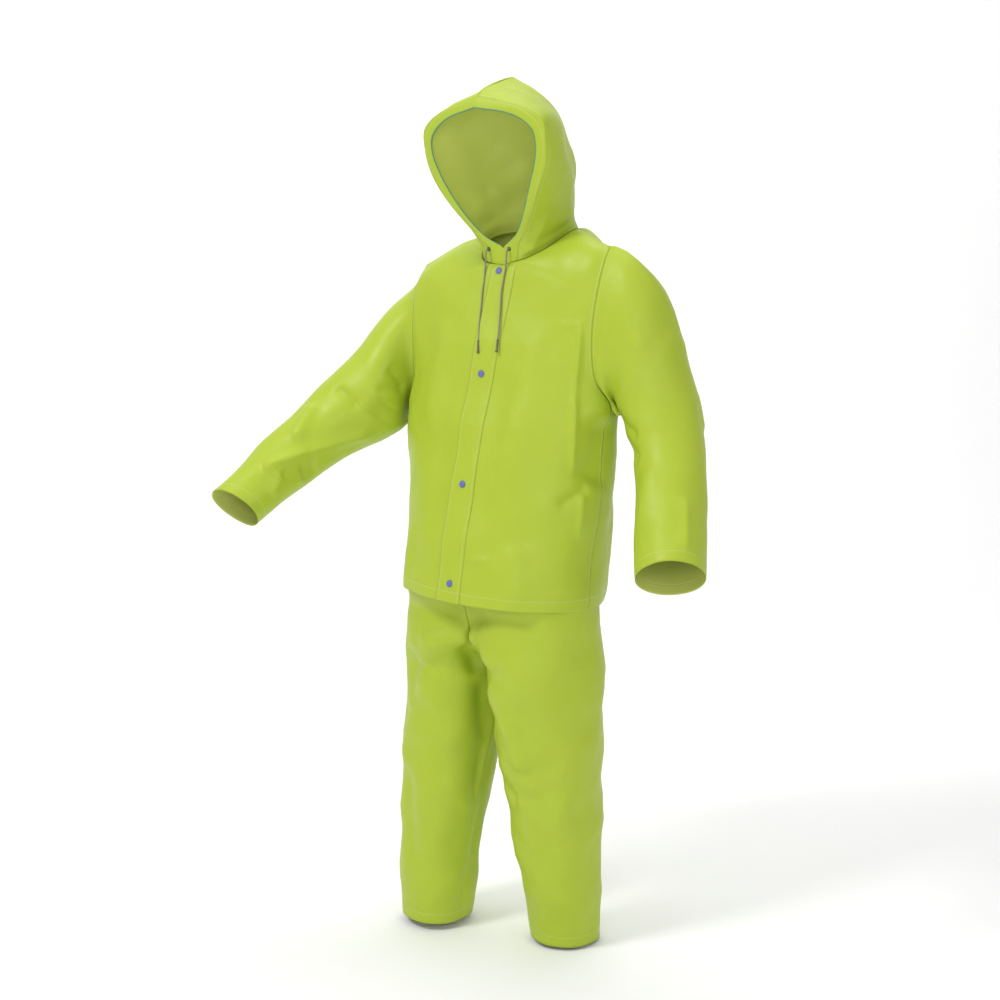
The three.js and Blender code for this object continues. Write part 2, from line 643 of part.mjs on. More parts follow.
SNAP_HEIGHTS.forEach((z, i) => {
  const { foot, axis } = faceAt(placketRows, SNAP_X, z);
  foot.addScaledVector(axis, SEAM_GAP + CASING + SEAT);
  suit.add(turned(`snap_${i + 1}`, SNAP_PROFILE, foot, axis, "snap"));
});

// An eyelet on each side of the opening's foot, where the drawstring leaves the casing.
const EYELET_PROFILE = [
  [EYELET_HOLE, 0],
  [EYELET_RADIUS, 0],
  [EYELET_RADIUS - 0.3, 0.7 * EYELET_RISE],
  [EYELET_HOLE + 0.9, EYELET_RISE],
  [EYELET_HOLE, 0.6 * EYELET_RISE],
  [EYELET_HOLE, 0],
];
// The drawstring's two free ends, from the eyelet down over the chest.
const cordEnds = [
  {
    word: "left",
    eyelet: { x: 24, z: 33 },
    route: [
      [24, -8.4, 33], [24, -11, 32.6], [24, -13.4, 31], [24, -15, 28], [24, -16, 23], [24, -16.6, 16],
      [23.6, -17, 6], [23.4, -17.8, -4], [23, -19.8, -15], [23, -25.4, -35], [24, -31.4, -55],
      [27, -36.8, -75], [30, -42, -95], [33, -47.2, -115], [36, -53, -135], [38, -57.8, -150],
    ],
  },
  {
    word: "right",
    eyelet: { x: -27, z: 33 },
    route: [
      [-27, -15, 33], [-27, -17.6, 32.6], [-27.2, -20, 31], [-27.4, -21.4, 28], [-27.8, -22, 24],
      [-28, -22.2, 18], [-28.5, -22.4, 8], [-29, -22.6, 0], [-29, -23.2, -12], [-28, -27.4, -35],
      [-27, -33.4, -55], [-24, -38.8, -75], [-22, -44.2, -95], [-19, -50.6, -115], [-15, -57, -135],
      [-11.4, -62.6, -153],
    ],
  },
];
const CORD_STEPS = 30;
const CORD_SIDES = 8;
const TIP_RADIUS = 2.3;
const TIP_BEAD = 2.9;
const TIP_PROFILE = [
  [0, 0],
  [TIP_BEAD - 0.6, 0],
  [TIP_BEAD, 1.6],
  [TIP_BEAD - 0.4, 3.4],
  [TIP_RADIUS, 4.4],
  [TIP_RADIUS, TIP_LENGTH - 4.4],
  [TIP_BEAD - 0.4, TIP_LENGTH - 3.4],
  [TIP_BEAD, TIP_LENGTH - 1.6],
  [TIP_BEAD - 0.8, TIP_LENGTH],
  [0, TIP_LENGTH],
];
for (const { word, eyelet, route } of cordEnds) {
  const { foot, axis } = faceAt(casing, eyelet.x, eyelet.z);
  foot.addScaledVector(axis, SEAT);
  suit.add(turned(`eyelet_${word}`, EYELET_PROFILE, foot, axis, "eyelet"));

  const curve = new THREE.CatmullRomCurve3(route.map(([x, y, z]) => vec(x, y, z)));
  const section = new THREE.Shape();
  for (let k = 0; k < CORD_SIDES; k++) {
    const a = (2 * Math.PI * k) / CORD_SIDES;
    const r = CORD_DIAMETER / 2;
    if (k === 0) section.moveTo(r, 0);
    else section.lineTo(r * Math.cos(a), r * Math.sin(a));
  }
  const tube = new THREE.ExtrudeGeometry(section, { steps: CORD_STEPS, bevelEnabled: false, extrudePath: curve });
  suit.add(finished(`drawstring_${word}`, tube, "cord"));

  const along = curve.getTangent(1);
  const tipFoot = curve.getPoint(1).addScaledVector(along, SEAM_GAP);
  suit.add(turned(`cord_tip_${word}`, TIP_PROFILE, tipFoot, along, "tip", 12));
}

export default suit;
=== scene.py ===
import math

import bmesh
import bpy
import numpy as np
from bpy.props import FloatProperty, FloatVectorProperty, IntProperty, PointerProperty
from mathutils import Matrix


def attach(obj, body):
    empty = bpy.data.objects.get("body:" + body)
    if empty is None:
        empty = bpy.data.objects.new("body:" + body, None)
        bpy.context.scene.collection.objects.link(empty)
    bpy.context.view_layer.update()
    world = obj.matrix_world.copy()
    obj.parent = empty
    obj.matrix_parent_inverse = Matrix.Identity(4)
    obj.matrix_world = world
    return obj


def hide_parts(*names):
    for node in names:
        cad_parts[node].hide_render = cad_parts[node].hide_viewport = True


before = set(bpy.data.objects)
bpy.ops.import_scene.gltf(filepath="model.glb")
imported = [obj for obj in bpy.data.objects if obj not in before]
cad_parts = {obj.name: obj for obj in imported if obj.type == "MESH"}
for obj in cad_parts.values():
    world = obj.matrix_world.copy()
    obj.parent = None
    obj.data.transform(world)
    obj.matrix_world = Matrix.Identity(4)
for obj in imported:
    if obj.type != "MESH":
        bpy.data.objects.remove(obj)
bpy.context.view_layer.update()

bl_info = {
    "name": "Rain Suit",
    "version": (1, 0, 0),
    "blender": (4, 5, 0),
    "location": "View3D > Sidebar > Rain Suit",
    "description": "Builds the hooded rain jacket and trousers over their plain solids",
    "category": "Object",
}

LEFT, RIGHT = 1, -1
SIDES = ((LEFT, "left"), (RIGHT, "right"))
MM = 0.001
WELD_DISTANCE = 2e-5
FAR = 999.0

# Shape of the suit, in millimetres

NECK_RADIUS = 100.0
NECK_AXIS_Y = 90.0
FRONT_EDGE_X = 16.0
PLACKET_SEAM_X = 34.0
PLACKET_FREE_X = -26.0
UNDERARM, NECK_FRONT, NECK_BACK = 0.5, 0.8, 0.9
NECK_TURNS = [0, 0.1, 0.19, 0.28, 0.38, 0.5, 0.63, 0.76, 0.88, 1]
SPINE_Y = 60.0
SLEEVE_CAP = 0.35
CROTCH, HIP = 0.62, 0.85
HIP_Z, WAIST_Z = -690.0, -440.0
WAIST_FIT, WAIST_AXIS_Y = 0.76, 30.0
HOOD_NECK_BLEND = 0.25
RIM_PARTS = 0.1

# How finely panels are cut into rows, and where the front's edge starts to turn to the centre

LEVEL_STEP, LEG_LEVEL_STEP = 0.0052, 0.0058
HALVINGS = 26
EDGE_TURNS_AT = 0.66

# How the creases fade, in millimetres: from a sewn edge, an armhole and a panel's side, and off their line

SEAM_FADE, ARMHOLE_FADE, SIDE_FADE, OFF_LINE_FADE = 16, 26, 30, 40

# z, lean, turn, sway
STANCE = [
    (-1420, -0.03, 0, 0), (-860, -0.04, 0, 0), (-700, -0.036, 0, -2), (-435, -0.01, 2, -9),
    (-278, 0.03, 4, -11), (-150, 0.06, 6, -6), (0, 0.085, 8, 0), (75, 0.05, 6, 0),
    (180, 0.02, 2, -4), (400, 0, 0, -5),
]
# level, centre y z, side x y z, handle at the centre x y z, handle at the side x y z
JACKET_FRONT = [
    (0.0, -172, -683, 230, 4, -686, 138, 0, 0, 0, -96, 0),
    (0.15, -155, -578, 234, 18, -580, 140, 0, 0, 0, -97, 0),
    (0.32, -124, -435, 246, 30, -442, 141, 0, 0, 0, -92, 0),
    (0.5, -88, -284, 256, 36, -296, 140, 0, 0, -2, -82, 0),
    (0.6, -66, -190, 236, 0, -236, 125, 0, 0, -36, -42, 12),
    (0.7, -40, -100, 229, -14, -160, 110, 0, 0, -58, -30, 16),
    (0.8, -10, 0, 230, -12, -80, 95, -6, -4, -68, -22, 28),
    (0.9, 19.3, 22, 231, 6, -16, 62, -8, 19, -54, -8, 34),
    (1.0, 90, 62, 228, 34, 20, 46, -10, 14, -50, 10, 20),
]
JACKET_BACK = [
    (0.0, 174, -686, 230, 4, -686, 138, 0, 0, 0, 88, 0),
    (0.15, 188, -580, 234, 18, -580, 140, 0, 0, 0, 88, 0),
    (0.32, 188, -435, 246, 30, -442, 141, 0, 0, 0, 82, 0),
    (0.5, 186, -284, 256, 36, -296, 140, 0, 0, -4, 76, 0),
    (0.6, 194, -200, 246, 80, -236, 128, 0, 0, -18, 52, 6),
    (0.7, 200, -122, 240, 102, -160, 118, 0, 0, -38, 46, 10),
    (0.8, 200, -40, 237, 100, -92, 106, 0, 0, -50, 42, 16),
    (0.9, 190, 75, 232, 80, -26, 72, 0, -30, -54, 30, 20),
    (1.0, 90, 62, 228, 34, 20, 46, -10, 14, -50, 10, 20),
]
# level, x y z
SIDE_SEAM = [(0.0, 230, 4, -686), (0.15, 234, 18, -580), (0.32, 246, 30, -442), (0.5, 256, 36, -296)]
# turn, height
NECK_HEIGHT = [(0, 0), (0.2, 14), (0.5, 62), (0.8, 76), (1, 75)]
# along, centre x y z, radius at the top, radius across, slant
ARMS = {
    LEFT: [
        (0.0, 236, 75, -66, 92, 84, -90), (0.2, 276, 92, -126, 88, 86, -90), 
        (0.35, 304, 104, -212, 82, 84, -75), (0.48, 334, 102, -290, 78, 80, -45),
        (0.6, 368, 84, -366, 73, 75, -20), (0.8, 422, 20, -490, 70, 69, 0),
        (1.0, 472, -45, -593, 70, 66, 0),
    ],
    RIGHT: [
        (0.0, -240, 30, -86, 102, 88, -90), (0.2, -276, 2, -186, 98, 90, -90), 
        (0.35, -316, -43, -254, 98, 90, -70), (0.48, -354, -99, -308, 85, 82, -36),
        (0.6, -386, -157, -357, 75, 73, -14), (0.8, -418, -258, -434, 64, 62, 0),
        (1.0, -438, -362, -508, 56, 52, 12),
    ],
}
# How far a sleeve's cap leaves the underarm, and each shoulder, outwards and upwards.
CAP_FOOT = (36, -34)
CAP_TOP = {LEFT: (66, 2), RIGHT: (34, -54)}
# level, casing seam x y z, handle there x y z, handle at the back y z, centre back y z
HOOD = [
    (0.0, 31, -5, 4, 104, 6, 8, 133, 0, 190, 75),
    (0.1, 37, -9, 34, 96, 22, 8, 126, 0, 180, 102),
    (0.2, 58, -17, 62, 80, 42, 6, 118, 0, 174, 128),
    (0.32, 88, -30, 98, 50, 60, 4, 112, 0, 180, 160),
    (0.45, 124, -42, 145, 28, 68, 4, 110, 0, 182, 198),
    (0.58, 153, -48, 192, 12, 70, 4, 102, 0, 169, 240),
    (0.7, 163, -56, 238, 2, 64, 6, 88, 0, 142, 284),
    (0.8, 157, -62, 284, -4, 52, 10, 70, 2, 112, 326),
    (0.9, 98, -69, 315, -4, 44, 20, 44, 6, 78, 362),
    (1.0, 0, -76, 336, 0, 36, 44, 0, 4, 40, 382),
]
# level, x y z
RIM = [
    (0.0, 0, -10, 0), (0.1, 0, -10, 34), (0.2, 37, -17, 60), (0.32, 68, -32, 97), (0.45, 98, -44, 143),
    (0.58, 124, -52, 190), (0.7, 138, -60, 234), (0.8, 130, -66, 268), (0.9, 84, -74, 296),
    (1.0, 0, -84, 312),
]
# level, rise y z, side x y z, handle at the rise or inseam x y z, handle at the side x y z
LEG_FRONT = [
    (0.0, 0, -1412, 213, 0, -1412, -6, -100, 0, 6, -100, 0),
    (0.2, 0, -1250, 222, 0, -1250, -4, -124, 0, 4, -120, 0),
    (0.4, 4, -1070, 226, 2, -1070, 2, -156, 0, 2, -140, 0),
    (0.55, 8, -920, 230, 2, -930, 10, -188, 0, 0, -146, 0),
    (0.62, 0, -838, 231, 2, -858, 26, -200, 0, 0, -142, 0),
    (0.7, -70, -802, 231, 3, -806, 70, -130, 0, 0, -126, 0),
    (0.78, -100, -752, 230, 4, -752, 108, -78, 0, 0, -112, 0),
    (0.85, -120, -690, 228.2, 4, -690, 122, -48, 0, 0, -98, 0),
]
LEG_BACK = [
    (0.0, 0, -1412, 213, 0, -1412, -6, 105, 0, 6, 103, 0),
    (0.2, 0, -1250, 222, 0, -1250, -4, 120, 0, 4, 116, 0),
    (0.4, 4, -1070, 226, 2, -1070, 2, 148, 0, 2, 136, 0),
    (0.55, 8, -920, 230, 2, -930, 10, 182, 0, 0, 148, 0),
    (0.62, 0, -838, 231, 2, -858, 26, 200, 0, 0, 140, 0),
    (0.7, 96, -812, 231, 3, -806, 66, 110, 0, 0, 116, 0),
    (0.78, 146, -762, 230, 4, -752, 110, 40, 0, 0, 104, 0),
    (0.85, 164, -690, 228.2, 4, -690, 124, 2, 0, 0, 84, 0),
]
# level, x y z
INSEAM = [
    (0.0, 70, 0, -1412), (0.2, 56, 0, -1250), (0.4, 29, 3, -1070), (0.55, 8, 6, -920), (0.62, 0, 0, -838),
]
# z, how far the left and the right foot stand behind the hips
STRIDE = [(-1420, 40, -64), (-1150, 22, -40), (-856, 0, 0), (-820, 0, 0), (-400, 0, 0)]

# The drawstrings' routes, as in the solids.
DRAWSTRING_ROUTES = {
    "left": [
        (24, -8.4, 33), (24, -11, 32.6), (24, -13.4, 31), (24, -15, 28), (24, -16, 23), (24, -16.6, 16),
        (23.6, -17, 6), (23.4, -17.8, -4), (23, -19.8, -15), (23, -25.4, -35), (24, -31.4, -55),
        (27, -36.8, -75), (30, -42, -95), (33, -47.2, -115), (36, -53, -135), (38, -57.8, -150),
    ],
    "right": [
        (-27, -15, 33), (-27, -17.6, 32.6), (-27.2, -20, 31), (-27.4, -21.4, 28), (-27.8, -22, 24),
        (-28, -22.2, 18), (-28.5, -22.4, 8), (-29, -22.6, 0), (-29, -23.2, -12), (-28, -27.4, -35),
        (-27, -33.4, -55), (-24, -38.8, -75), (-22, -44.2, -95), (-19, -50.6, -115), (-15, -57, -135),
        (-11.4, -62.6, -153),
    ],
}
CORD_DIAMETER = 3.4
CORD_STEPS, CORD_SIDES = 90, 12
CORD_STRANDS = 46  # strand lengths from one end to the other
# Radius and height of a moulded tip: a slim barrel with a bead at each end.
TIP_PROFILE = [
    (0.01, 0), (2.2, 0.1), (2.75, 0.9), (2.9, 1.9), (2.6, 3.1), (2.2, 4.2), (2.1, 6), (2.1, 21), (2.2, 22.8),
    (2.6, 23.9), (2.9, 25.1), (2.75, 26.1), (2.0, 26.9), (0.01, 27),
]

# Creases: panel, start x y z, end x y z, half width, height (a trough is negative).
CREASES = [
    ("body_front_left", 210, 0, -118, 206, -14, -249, 8, 6.8),
    ("body_front_left", 206, -14, -249, 216, -31, -414, 8, 8.2),
    ("body_front_left", 226, -14, -457, 224, -20, -545, 8, 5.5),
    ("body_front_left", 164, -17, -118, 213, 2, -118, 7, 1.6),
    ("body_front_left", 124, -60, -110, 112, -118, -420, 34, 7.8),
    ("body_front_left", 62, -96, -230, 54, -140, -520, 28, -6.5),
    ("body_front_left", 40, -154, -595, 92, -142, -591, 8, 3.1),
    ("body_front_left", 140, -116, -560, 132, -128, -700, 28, 7.8),
    ("body_front_right", -206, -6, -130, -212, -20, -300, 11, 6.5),
    ("body_front_right", -214, -20, -330, -222, -24, -520, 13, 5.7),
    ("body_front_right", -112, -54, -120, -124, -96, -330, 30, 7.8),
    ("body_front_right", -70, -106, -300, -62, -150, -560, 26, -6.5),
    ("body_front_right", -150, -100, -540, -146, -112, -700, 24, 6.5),
    ("body", 252, 34, -310, 236, 6, -440, 40, -16.3),
    ("body", 231, -4, -441, 199, -56, -480, 14, -6.5),
    ("body", -252, 34, -330, -240, 10, -450, 35, -13.6),
    ("body", -238, 10, -455, -196, -40, -500, 15, -6.5),
    ("body_back", 92, 196, -90, 124, 196, -330, 32, 10.4),
    ("body_back", -104, 196, -110, -138, 190, -360, 34, 11.7),
    ("body_back", 24, 200, -160, -8, 196, -440, 26, -7.8),
    ("body_back", 206, 116, -250, 96, 190, -372, 17, -10.4),
    ("body_back", -206, 112, -262, -84, 190, -410, 19, -11.7),
    ("body_back", 62, 186, -430, 84, 172, -700, 30, 10.4),
    ("body_back", -70, 188, -420, -98, 170, -700, 34, 11.7),
    ("body_back", 172, 120, -470, 178, 100, -700, 22, 7.8),
    ("body_back", -182, 110, -460, -186, 96, -700, 20, -7.8),
    ("sleeve_right", -252, -85, -220, -250, -42, -263, 13, -5.5),
    ("sleeve_right", -260, -116, -264, -250, -42, -263, 13, -5.5),
    ("sleeve_right", -258, -90, -290, -262, -110, -330, 28, -7.9),
    ("sleeve_right", -336, -159, -261, -284, -144, -300, 11, -7.2),
    ("sleeve_right", -372, -205, -290, -365, -252, -366, 16, 7.2),
    ("sleeve_right", -388, -321, -422, -347, -237, -394, 13, 9.2),
    ("sleeve_right", -347, -237, -394, -281, -112, -358, 14, 9.2),
    ("sleeve_right", -359, -245, -441, -340, -215, -430, 22, -9.2),
    ("sleeve_right", -388, -321, -422, -367, -294, -442, 11, 5.2),
    ("sleeve_right", -367, -294, -442, -374, -316, -481, 10, 5.2),
    ("sleeve_right", -318, 10, -260, -372, -62, -348, 19, 9.2),
    ("sleeve_right", -352, -20, -300, -300, -30, -380, 18, -10.4),
    ("sleeve_right", -420, -190, -396, -440, -270, -440, 17, 7.8),
    ("sleeve_left", 332, 32, -126, 329, 27, -165, 12, 2.0),
    ("sleeve_left", 328, 26, -200, 321, 24, -254, 12, 2.0),
    ("sleeve_left", 262, 62, -296, 338, 22, -334, 14, -9.2),
    ("sleeve_left", 286, 50, -352, 352, 18, -376, 14, -7.8),
    ("sleeve_left", 352, 176, -262, 398, 140, -330, 18, 5.5),
    ("sleeve_left", 340, 176, -330, 404, 128, -388, 17, -5.5),
    ("sleeve_left", 386, 4, -395, 414, -36, -500, 19, 6.5),
    ("sleeve_left", 468, 2, -447, 509, -53, -537, 11, 5.2),
    ("leg_right", -111, -132, -784, 0, -108, -769, 20, 10.0),
    ("leg_left", 0, -108, -769, 22, -108, -768, 20, 7.5),
    ("leg_right", -23, -103, -787, -17, -54, -848, 18, -15.8),
    ("leg_right", -15, -47, -871, -24, -34, -1006, 21, -12.9),
    ("leg_right", -24, -34, -1006, -41, -35, -1142, 23, -10.0),
    ("leg_right", -41, -35, -1142, -69, -31, -1329, 20, -7.5),
    ("leg_right", -143, -124, -812, -156, -118, -925, 26, -10.0),
    ("leg_right", -156, -132, -1076, -137, -141, -1271, 25, -10.0),
    ("leg_right", -183, -114, -1030, -45, -56, -1149, 22, 10.0),
    ("leg_right", -96, -116, -900, -60, -84, -1010, 31, 6.2),
    ("leg_right", -40, 100, -850, -156, 112, -800, 28, -12.5),
    ("leg_right", -64, 30, -1076, -194, 36, -1040, 23, -12.5),
    ("leg_right", -76, 24, -1136, -184, 24, -1112, 22, 10.0),
    ("leg_right", -206, 30, -790, -188, 0, -1050, 37, 10.0),
    ("leg_right", -188, -92, -856, -64, -106, -840, 25, -10.0),
    ("leg_right", -190, -84, -962, -84, -106, -930, 24, -9.0),
    ("leg_right", -130, -106, -1190, -66, -70, -1232, 22, -9.0),
    ("leg_left", 28, -120, -775, 50, -102, -1020, 32, -11.0),
    ("leg_left", 40, -118, -842, 128, -118, -812, 24, -8.0),
    ("leg_left", 52, -100, -1060, 116, -98, -1102, 22, -9.0),
    ("leg_left", 70, -88, -1190, 132, -86, -1226, 24, -8.0),
    ("leg_left", 114, -121, -903, 152, -87, -1088, 20, 10.0),
    ("leg_left", 141, -99, -1024, 141, -85, -1102, 20, -10.0),
    ("leg_left", 60, -118, -760, 86, -106, -980, 40, 7.5),
    ("leg_left", 178, -70, -980, 172, -70, -1250, 34, -7.5),
    ("leg_left", 36, 100, -840, 150, 112, -808, 25, -11.2),
    ("leg_left", 60, 64, -1060, 184, 74, -1090, 22, -11.2),
    ("leg_left", 80, 66, -1116, 190, 62, -1126, 20, 8.7),
    ("leg_left", 204, 40, -760, 190, 30, -1010, 37, 8.7),
    ("hood_left", 15, -26, 360, 74, 20, 332, 9, -4.3),
    ("hood_left", 148, -38, 272, 127, -47, 191, 11, 3.4),
    ("hood_left", 103, 16, 97, 60, 13, 20, 11, 3.8),
    ("hood_left", 150, 40, 250, 118, 120, 180, 27, -6.0),
    ("hood_left", 60, 160, 190, 120, 110, 140, 22, -7.2),
    ("hood_right", -60, 160, 200, -126, 104, 150, 24, -7.2),
    ("hood_right", -140, 20, 300, -110, 100, 230, 34, 6.0),
    ("leg_left", 10, -124, -716, 176, -92, -716, 24, -14.0),
    ("leg_right", -10, -124, -716, -190, -90, -716, 20, -9.0),
]

# The hood's casing: what its doubled film adds to the wall, its crown in the middle, and the height in metres
# from which its edge is coloured.
CASING_EXTRA, CASING_CROWN, TRIM_FROM = 0.6, 1.2, 0.04

# The placket's doubled film: its wall, its stand off the fronts at the welded edge, what the free edge adds
# to that, and how far from the welded edge it has done so.
PLACKET_WALL, PLACKET_STAND, PLACKET_LIFT, PLACKET_LIFT_BY = 1.4, 1.1, 1.3, 16

# The waistband: height, and the height and number of its gathers.
WAIST_HEIGHT, GATHER_HEIGHT, GATHERS = 38, 0.9, 40

# Snaps: height on the placket, at x = SNAP_X, and radius and height of a cap.
SNAP_X = 5.0
SNAP_HEIGHTS = [-11, -219, -443, -643]
SNAP_PROFILE = [
    (7.4, -0.4), (7.6, 0.2), (7.5, 0.9), (7.0, 1.5), (6.2, 1.75), (5.6, 1.6), (5.2, 1.65), (4.4, 2.1),
    (2.8, 2.5), (1.2, 2.65), (0.01, 2.68),
]


def table_curve(rows):
    """Returns a reader of a table whose first column is the key: between two rows every column is the cubic
    whose slope at a row is that of the line from the row before it to the row after it."""
    table = np.array(rows, float)
    key, value = table[:, 0], table[:, 1:]
    before = np.maximum(np.arange(len(key)) - 1, 0)
    after = np.minimum(np.arange(len(key)) + 1, len(key) - 1)
    slope = (value[after] - value[before]) / (key[after] - key[before])[:, None]

    def read(at):
        at = np.asarray(at, float)
        i = np.clip(np.searchsorted(key, at, side="left") - 1, 0, len(key) - 2)
        span = (key[i + 1] - key[i])[..., None]
        t = np.clip((at - key[i])[..., None] / span, 0, 1)
        return (
            (2 * t**3 - 3 * t**2 + 1) * value[i] + (t**3 - 2 * t**2 + t) * span * slope[i]
            + (3 * t**2 - 2 * t**3) * value[i + 1] + (t**3 - t**2) * span * slope[i + 1]
        )

    return read


def smooth(t):
    """Rises from 0 to 1 with level ends: 3t squared less 2t cubed."""
    t = np.clip(t, 0, 1)
    return t * t * (3 - 2 * t)


def bow(a, leave, arrive, b, t):
    """Cubic curve from a to b, whose handles stand at a + leave and b + arrive."""
    s = 1 - t
    near, far = 3 * s * s * t, 3 * s * t * t
    return a * (s**3 + near) + leave * near + arrive * far + b * (far + t**3)


stance = table_curve(STANCE)
jacket_front, jacket_back, side_seam = (table_curve(rows) for rows in (JACKET_FRONT, JACKET_BACK, SIDE_SEAM))
neck_height, hood_row, rim_row = (table_curve(rows) for rows in (NECK_HEIGHT, HOOD, RIM))
leg_front, leg_back, inseam, stride = (table_curve(rows) for rows in (LEG_FRONT, LEG_BACK, INSEAM, STRIDE))
arm_rows = {side: table_curve(rows) for side, rows in ARMS.items()}


def posed(p):
    """Turns each point about the spine by the stance's angle at its height, then sways and leans it."""
    lean, turn, sway = np.moveaxis(stance(p[..., 2]), -1, 0)
    a = np.radians(turn)
    x, y = p[..., 0], p[..., 1] - SPINE_Y
    qx = x * np.cos(a) - y * np.sin(a)
    qy = x * np.sin(a) + y * np.cos(a) + SPINE_Y
    return np.stack([qx + sway, qy, p[..., 2] + lean * x], -1)


def neck_points(turn):
    """The neck seam: a circle in plan from the centre front (turn 0) to the nape (turn 1)."""
    a = np.pi * turn
    z = neck_height(turn)[..., 0]
    return np.stack([NECK_RADIUS * np.sin(a), NECK_AXIS_Y - NECK_RADIUS * np.cos(a), z], -1)


def body_points(face, level, u, side):
    """Jacket body: at each level the row is a cubic from the centre or neck seam (u 0) to the side (u 1)."""
    level, u = np.broadcast_arrays(np.asarray(level, float), u)
    row = (jacket_front if face == "front" else jacket_back)(level)
    start = NECK_FRONT if face == "front" else NECK_BACK
    up = np.clip((level - start) / (1 - start), 0, 1)
    turn = 0.5 * up if face == "front" else 1 - 0.5 * up
    centre = np.concatenate([np.zeros_like(row[..., :1]), row[..., 0:2]], -1)
    inner = np.where((level < start)[..., None], centre, neck_points(turn))
    outer = np.where((level <= UNDERARM)[..., None], side_seam(level), row[..., 2:5])
    p = bow(inner, row[..., 5:8], row[..., 8:11], outer, u[..., None])
    return posed(p * np.array([side, 1, 1]))


def u_at_x(level, x):
    """Where the vertical line at x crosses each row of the front, found by halving."""
    low, high = np.zeros_like(level), np.full_like(level, 0.6)
    row = jacket_front(level)
    outer = np.where(level <= UNDERARM, side_seam(level)[..., 0], row[..., 2])
    for _ in range(HALVINGS):
        middle = (low + high) / 2
        less = bow(0.0, row[..., 5], row[..., 8], outer, middle) < x
        low, high = np.where(less, middle, low), np.where(less, high, middle)
    return (low + high) / 2


def spaced(stops, step):
    """Values that run through all the stops, each stretch cut into even parts of about the given step."""
    counts = [max(1, math.ceil(abs(b - a) / step)) for a, b in zip(stops, stops[1:])]
    parts = [np.linspace(a, b, n + 1)[:-1] for a, b, n in zip(stops, stops[1:], counts)]
    return np.append(np.concatenate(parts), stops[-1])


def front_level(turn):
    """The front's level at a turn of the neck seam."""
    return NECK_FRONT + (1 - NECK_FRONT) * turn / 0.5


def back_level(turn):
    """The back's level at a turn of the neck seam."""
    return 1 - (turn - 0.5) / 0.5 * (1 - NECK_BACK)


FRONT_LEVELS = spaced([0, UNDERARM, NECK_FRONT] + [front_level(turn) for turn in NECK_TURNS[1:6]], LEVEL_STEP)
BACK_LEVELS = spaced([0, UNDERARM, NECK_BACK] + [back_level(turn) for turn in NECK_TURNS[8:4:-1]], LEVEL_STEP)


def front_grid(side, columns=64):
    """A front: rows from hem to shoulder, columns from the centre edge under the placket to the side."""
    level = FRONT_LEVELS
    low = np.minimum(level, NECK_FRONT)
    edge = FRONT_EDGE_X * (1 - smooth((low - EDGE_TURNS_AT) / (NECK_FRONT - EDGE_TURNS_AT)))
    start = side * u_at_x(low, edge)
    start = mix(start, 0.0, np.clip((level - NECK_FRONT) / (1 - NECK_FRONT), 0, 1))
    u = start[:, None] + (1 - start[:, None]) * np.linspace(0, 1, columns + 1)[None, :]
    return mirrored_body("front", level[:, None], np.abs(u), np.where(u < -1e-6, -side, side))


def mix(a, b, t):
    """From a to b as t goes from 0 to 1."""
    return a + (b - a) * t


def mirrored_body(face, level, u, side):
    """Body points whose side may change within a row, where a front reaches past the centre."""
    left = body_points(face, level, u, LEFT)
    right = body_points(face, level, u, RIGHT)
    return np.where((side > 0)[..., None], left, right)


def back_grids(columns=64):
    """The back's two halves: rows from hem to shoulder, columns from the centre to the side."""
    u = np.linspace(0, 1, columns + 1)[None, :]
    return [body_points("back", BACK_LEVELS[:, None], u, side) for side in (LEFT, RIGHT)]


# The solids' rows round the armhole, which number the places of its loop.
LOOP_FRONT = [*np.linspace(UNDERARM, NECK_FRONT, 6), *(front_level(turn) for turn in NECK_TURNS[1:6])]
LOOP_BACK = [1, *(back_level(turn) for turn in NECK_TURNS[6:9]), *np.linspace(NECK_BACK, UNDERARM, 8)]
LOOP_COUNT = len(LOOP_FRONT) + len(LOOP_BACK) - 2


def armhole_loop(side):
    """The armhole from the underarm up the front, over the shoulder and down the back, with its angles."""
    front = FRONT_LEVELS[FRONT_LEVELS >= UNDERARM - 1e-9]
    back = BACK_LEVELS[(BACK_LEVELS >= UNDERARM - 1e-9) & (BACK_LEVELS < 1 - 1e-9)][::-1]
    points = np.concatenate([body_points("front", front, np.ones_like(front), side),
                             body_points("back", back, np.ones_like(back), side)])
    place = np.concatenate([
        np.interp(front, LOOP_FRONT, np.arange(len(LOOP_FRONT))),
        np.interp(-back, [-v for v in LOOP_BACK], len(LOOP_FRONT) - 1 + np.arange(len(LOOP_BACK))),
    ])
    return points, 2 * np.pi * place / LOOP_COUNT


def armholes():
    """The points of both armholes."""
    return [armhole_loop(side)[0] for side in (LEFT, RIGHT)]


def arm_rings(side, along, angle):
    """Rings square to the arm, stretched to its two radii and slanted: a row for each place along the arm."""
    arm = arm_rows[side]
    along = np.asarray(along, float)[:, None]
    centre = arm(along)
    axis = arm(np.minimum(along + 0.02, 1))[..., :3] - arm(np.maximum(along - 0.02, 0))[..., :3]
    axis /= np.linalg.norm(axis, axis=-1, keepdims=True)
    shoulder = np.array([side, 0, 0.8])
    up = shoulder - axis * (axis @ shoulder)[..., None]
    up /= np.linalg.norm(up, axis=-1, keepdims=True)
    front = np.cross(axis, up) * side
    cos, sin = np.cos(angle)[None, :, None], np.sin(angle)[None, :, None]
    top, across, slant = (centre[..., k, None] for k in (3, 4, 5))
    return centre[..., :3] - axis * slant * cos - up * top * cos + front * across * sin


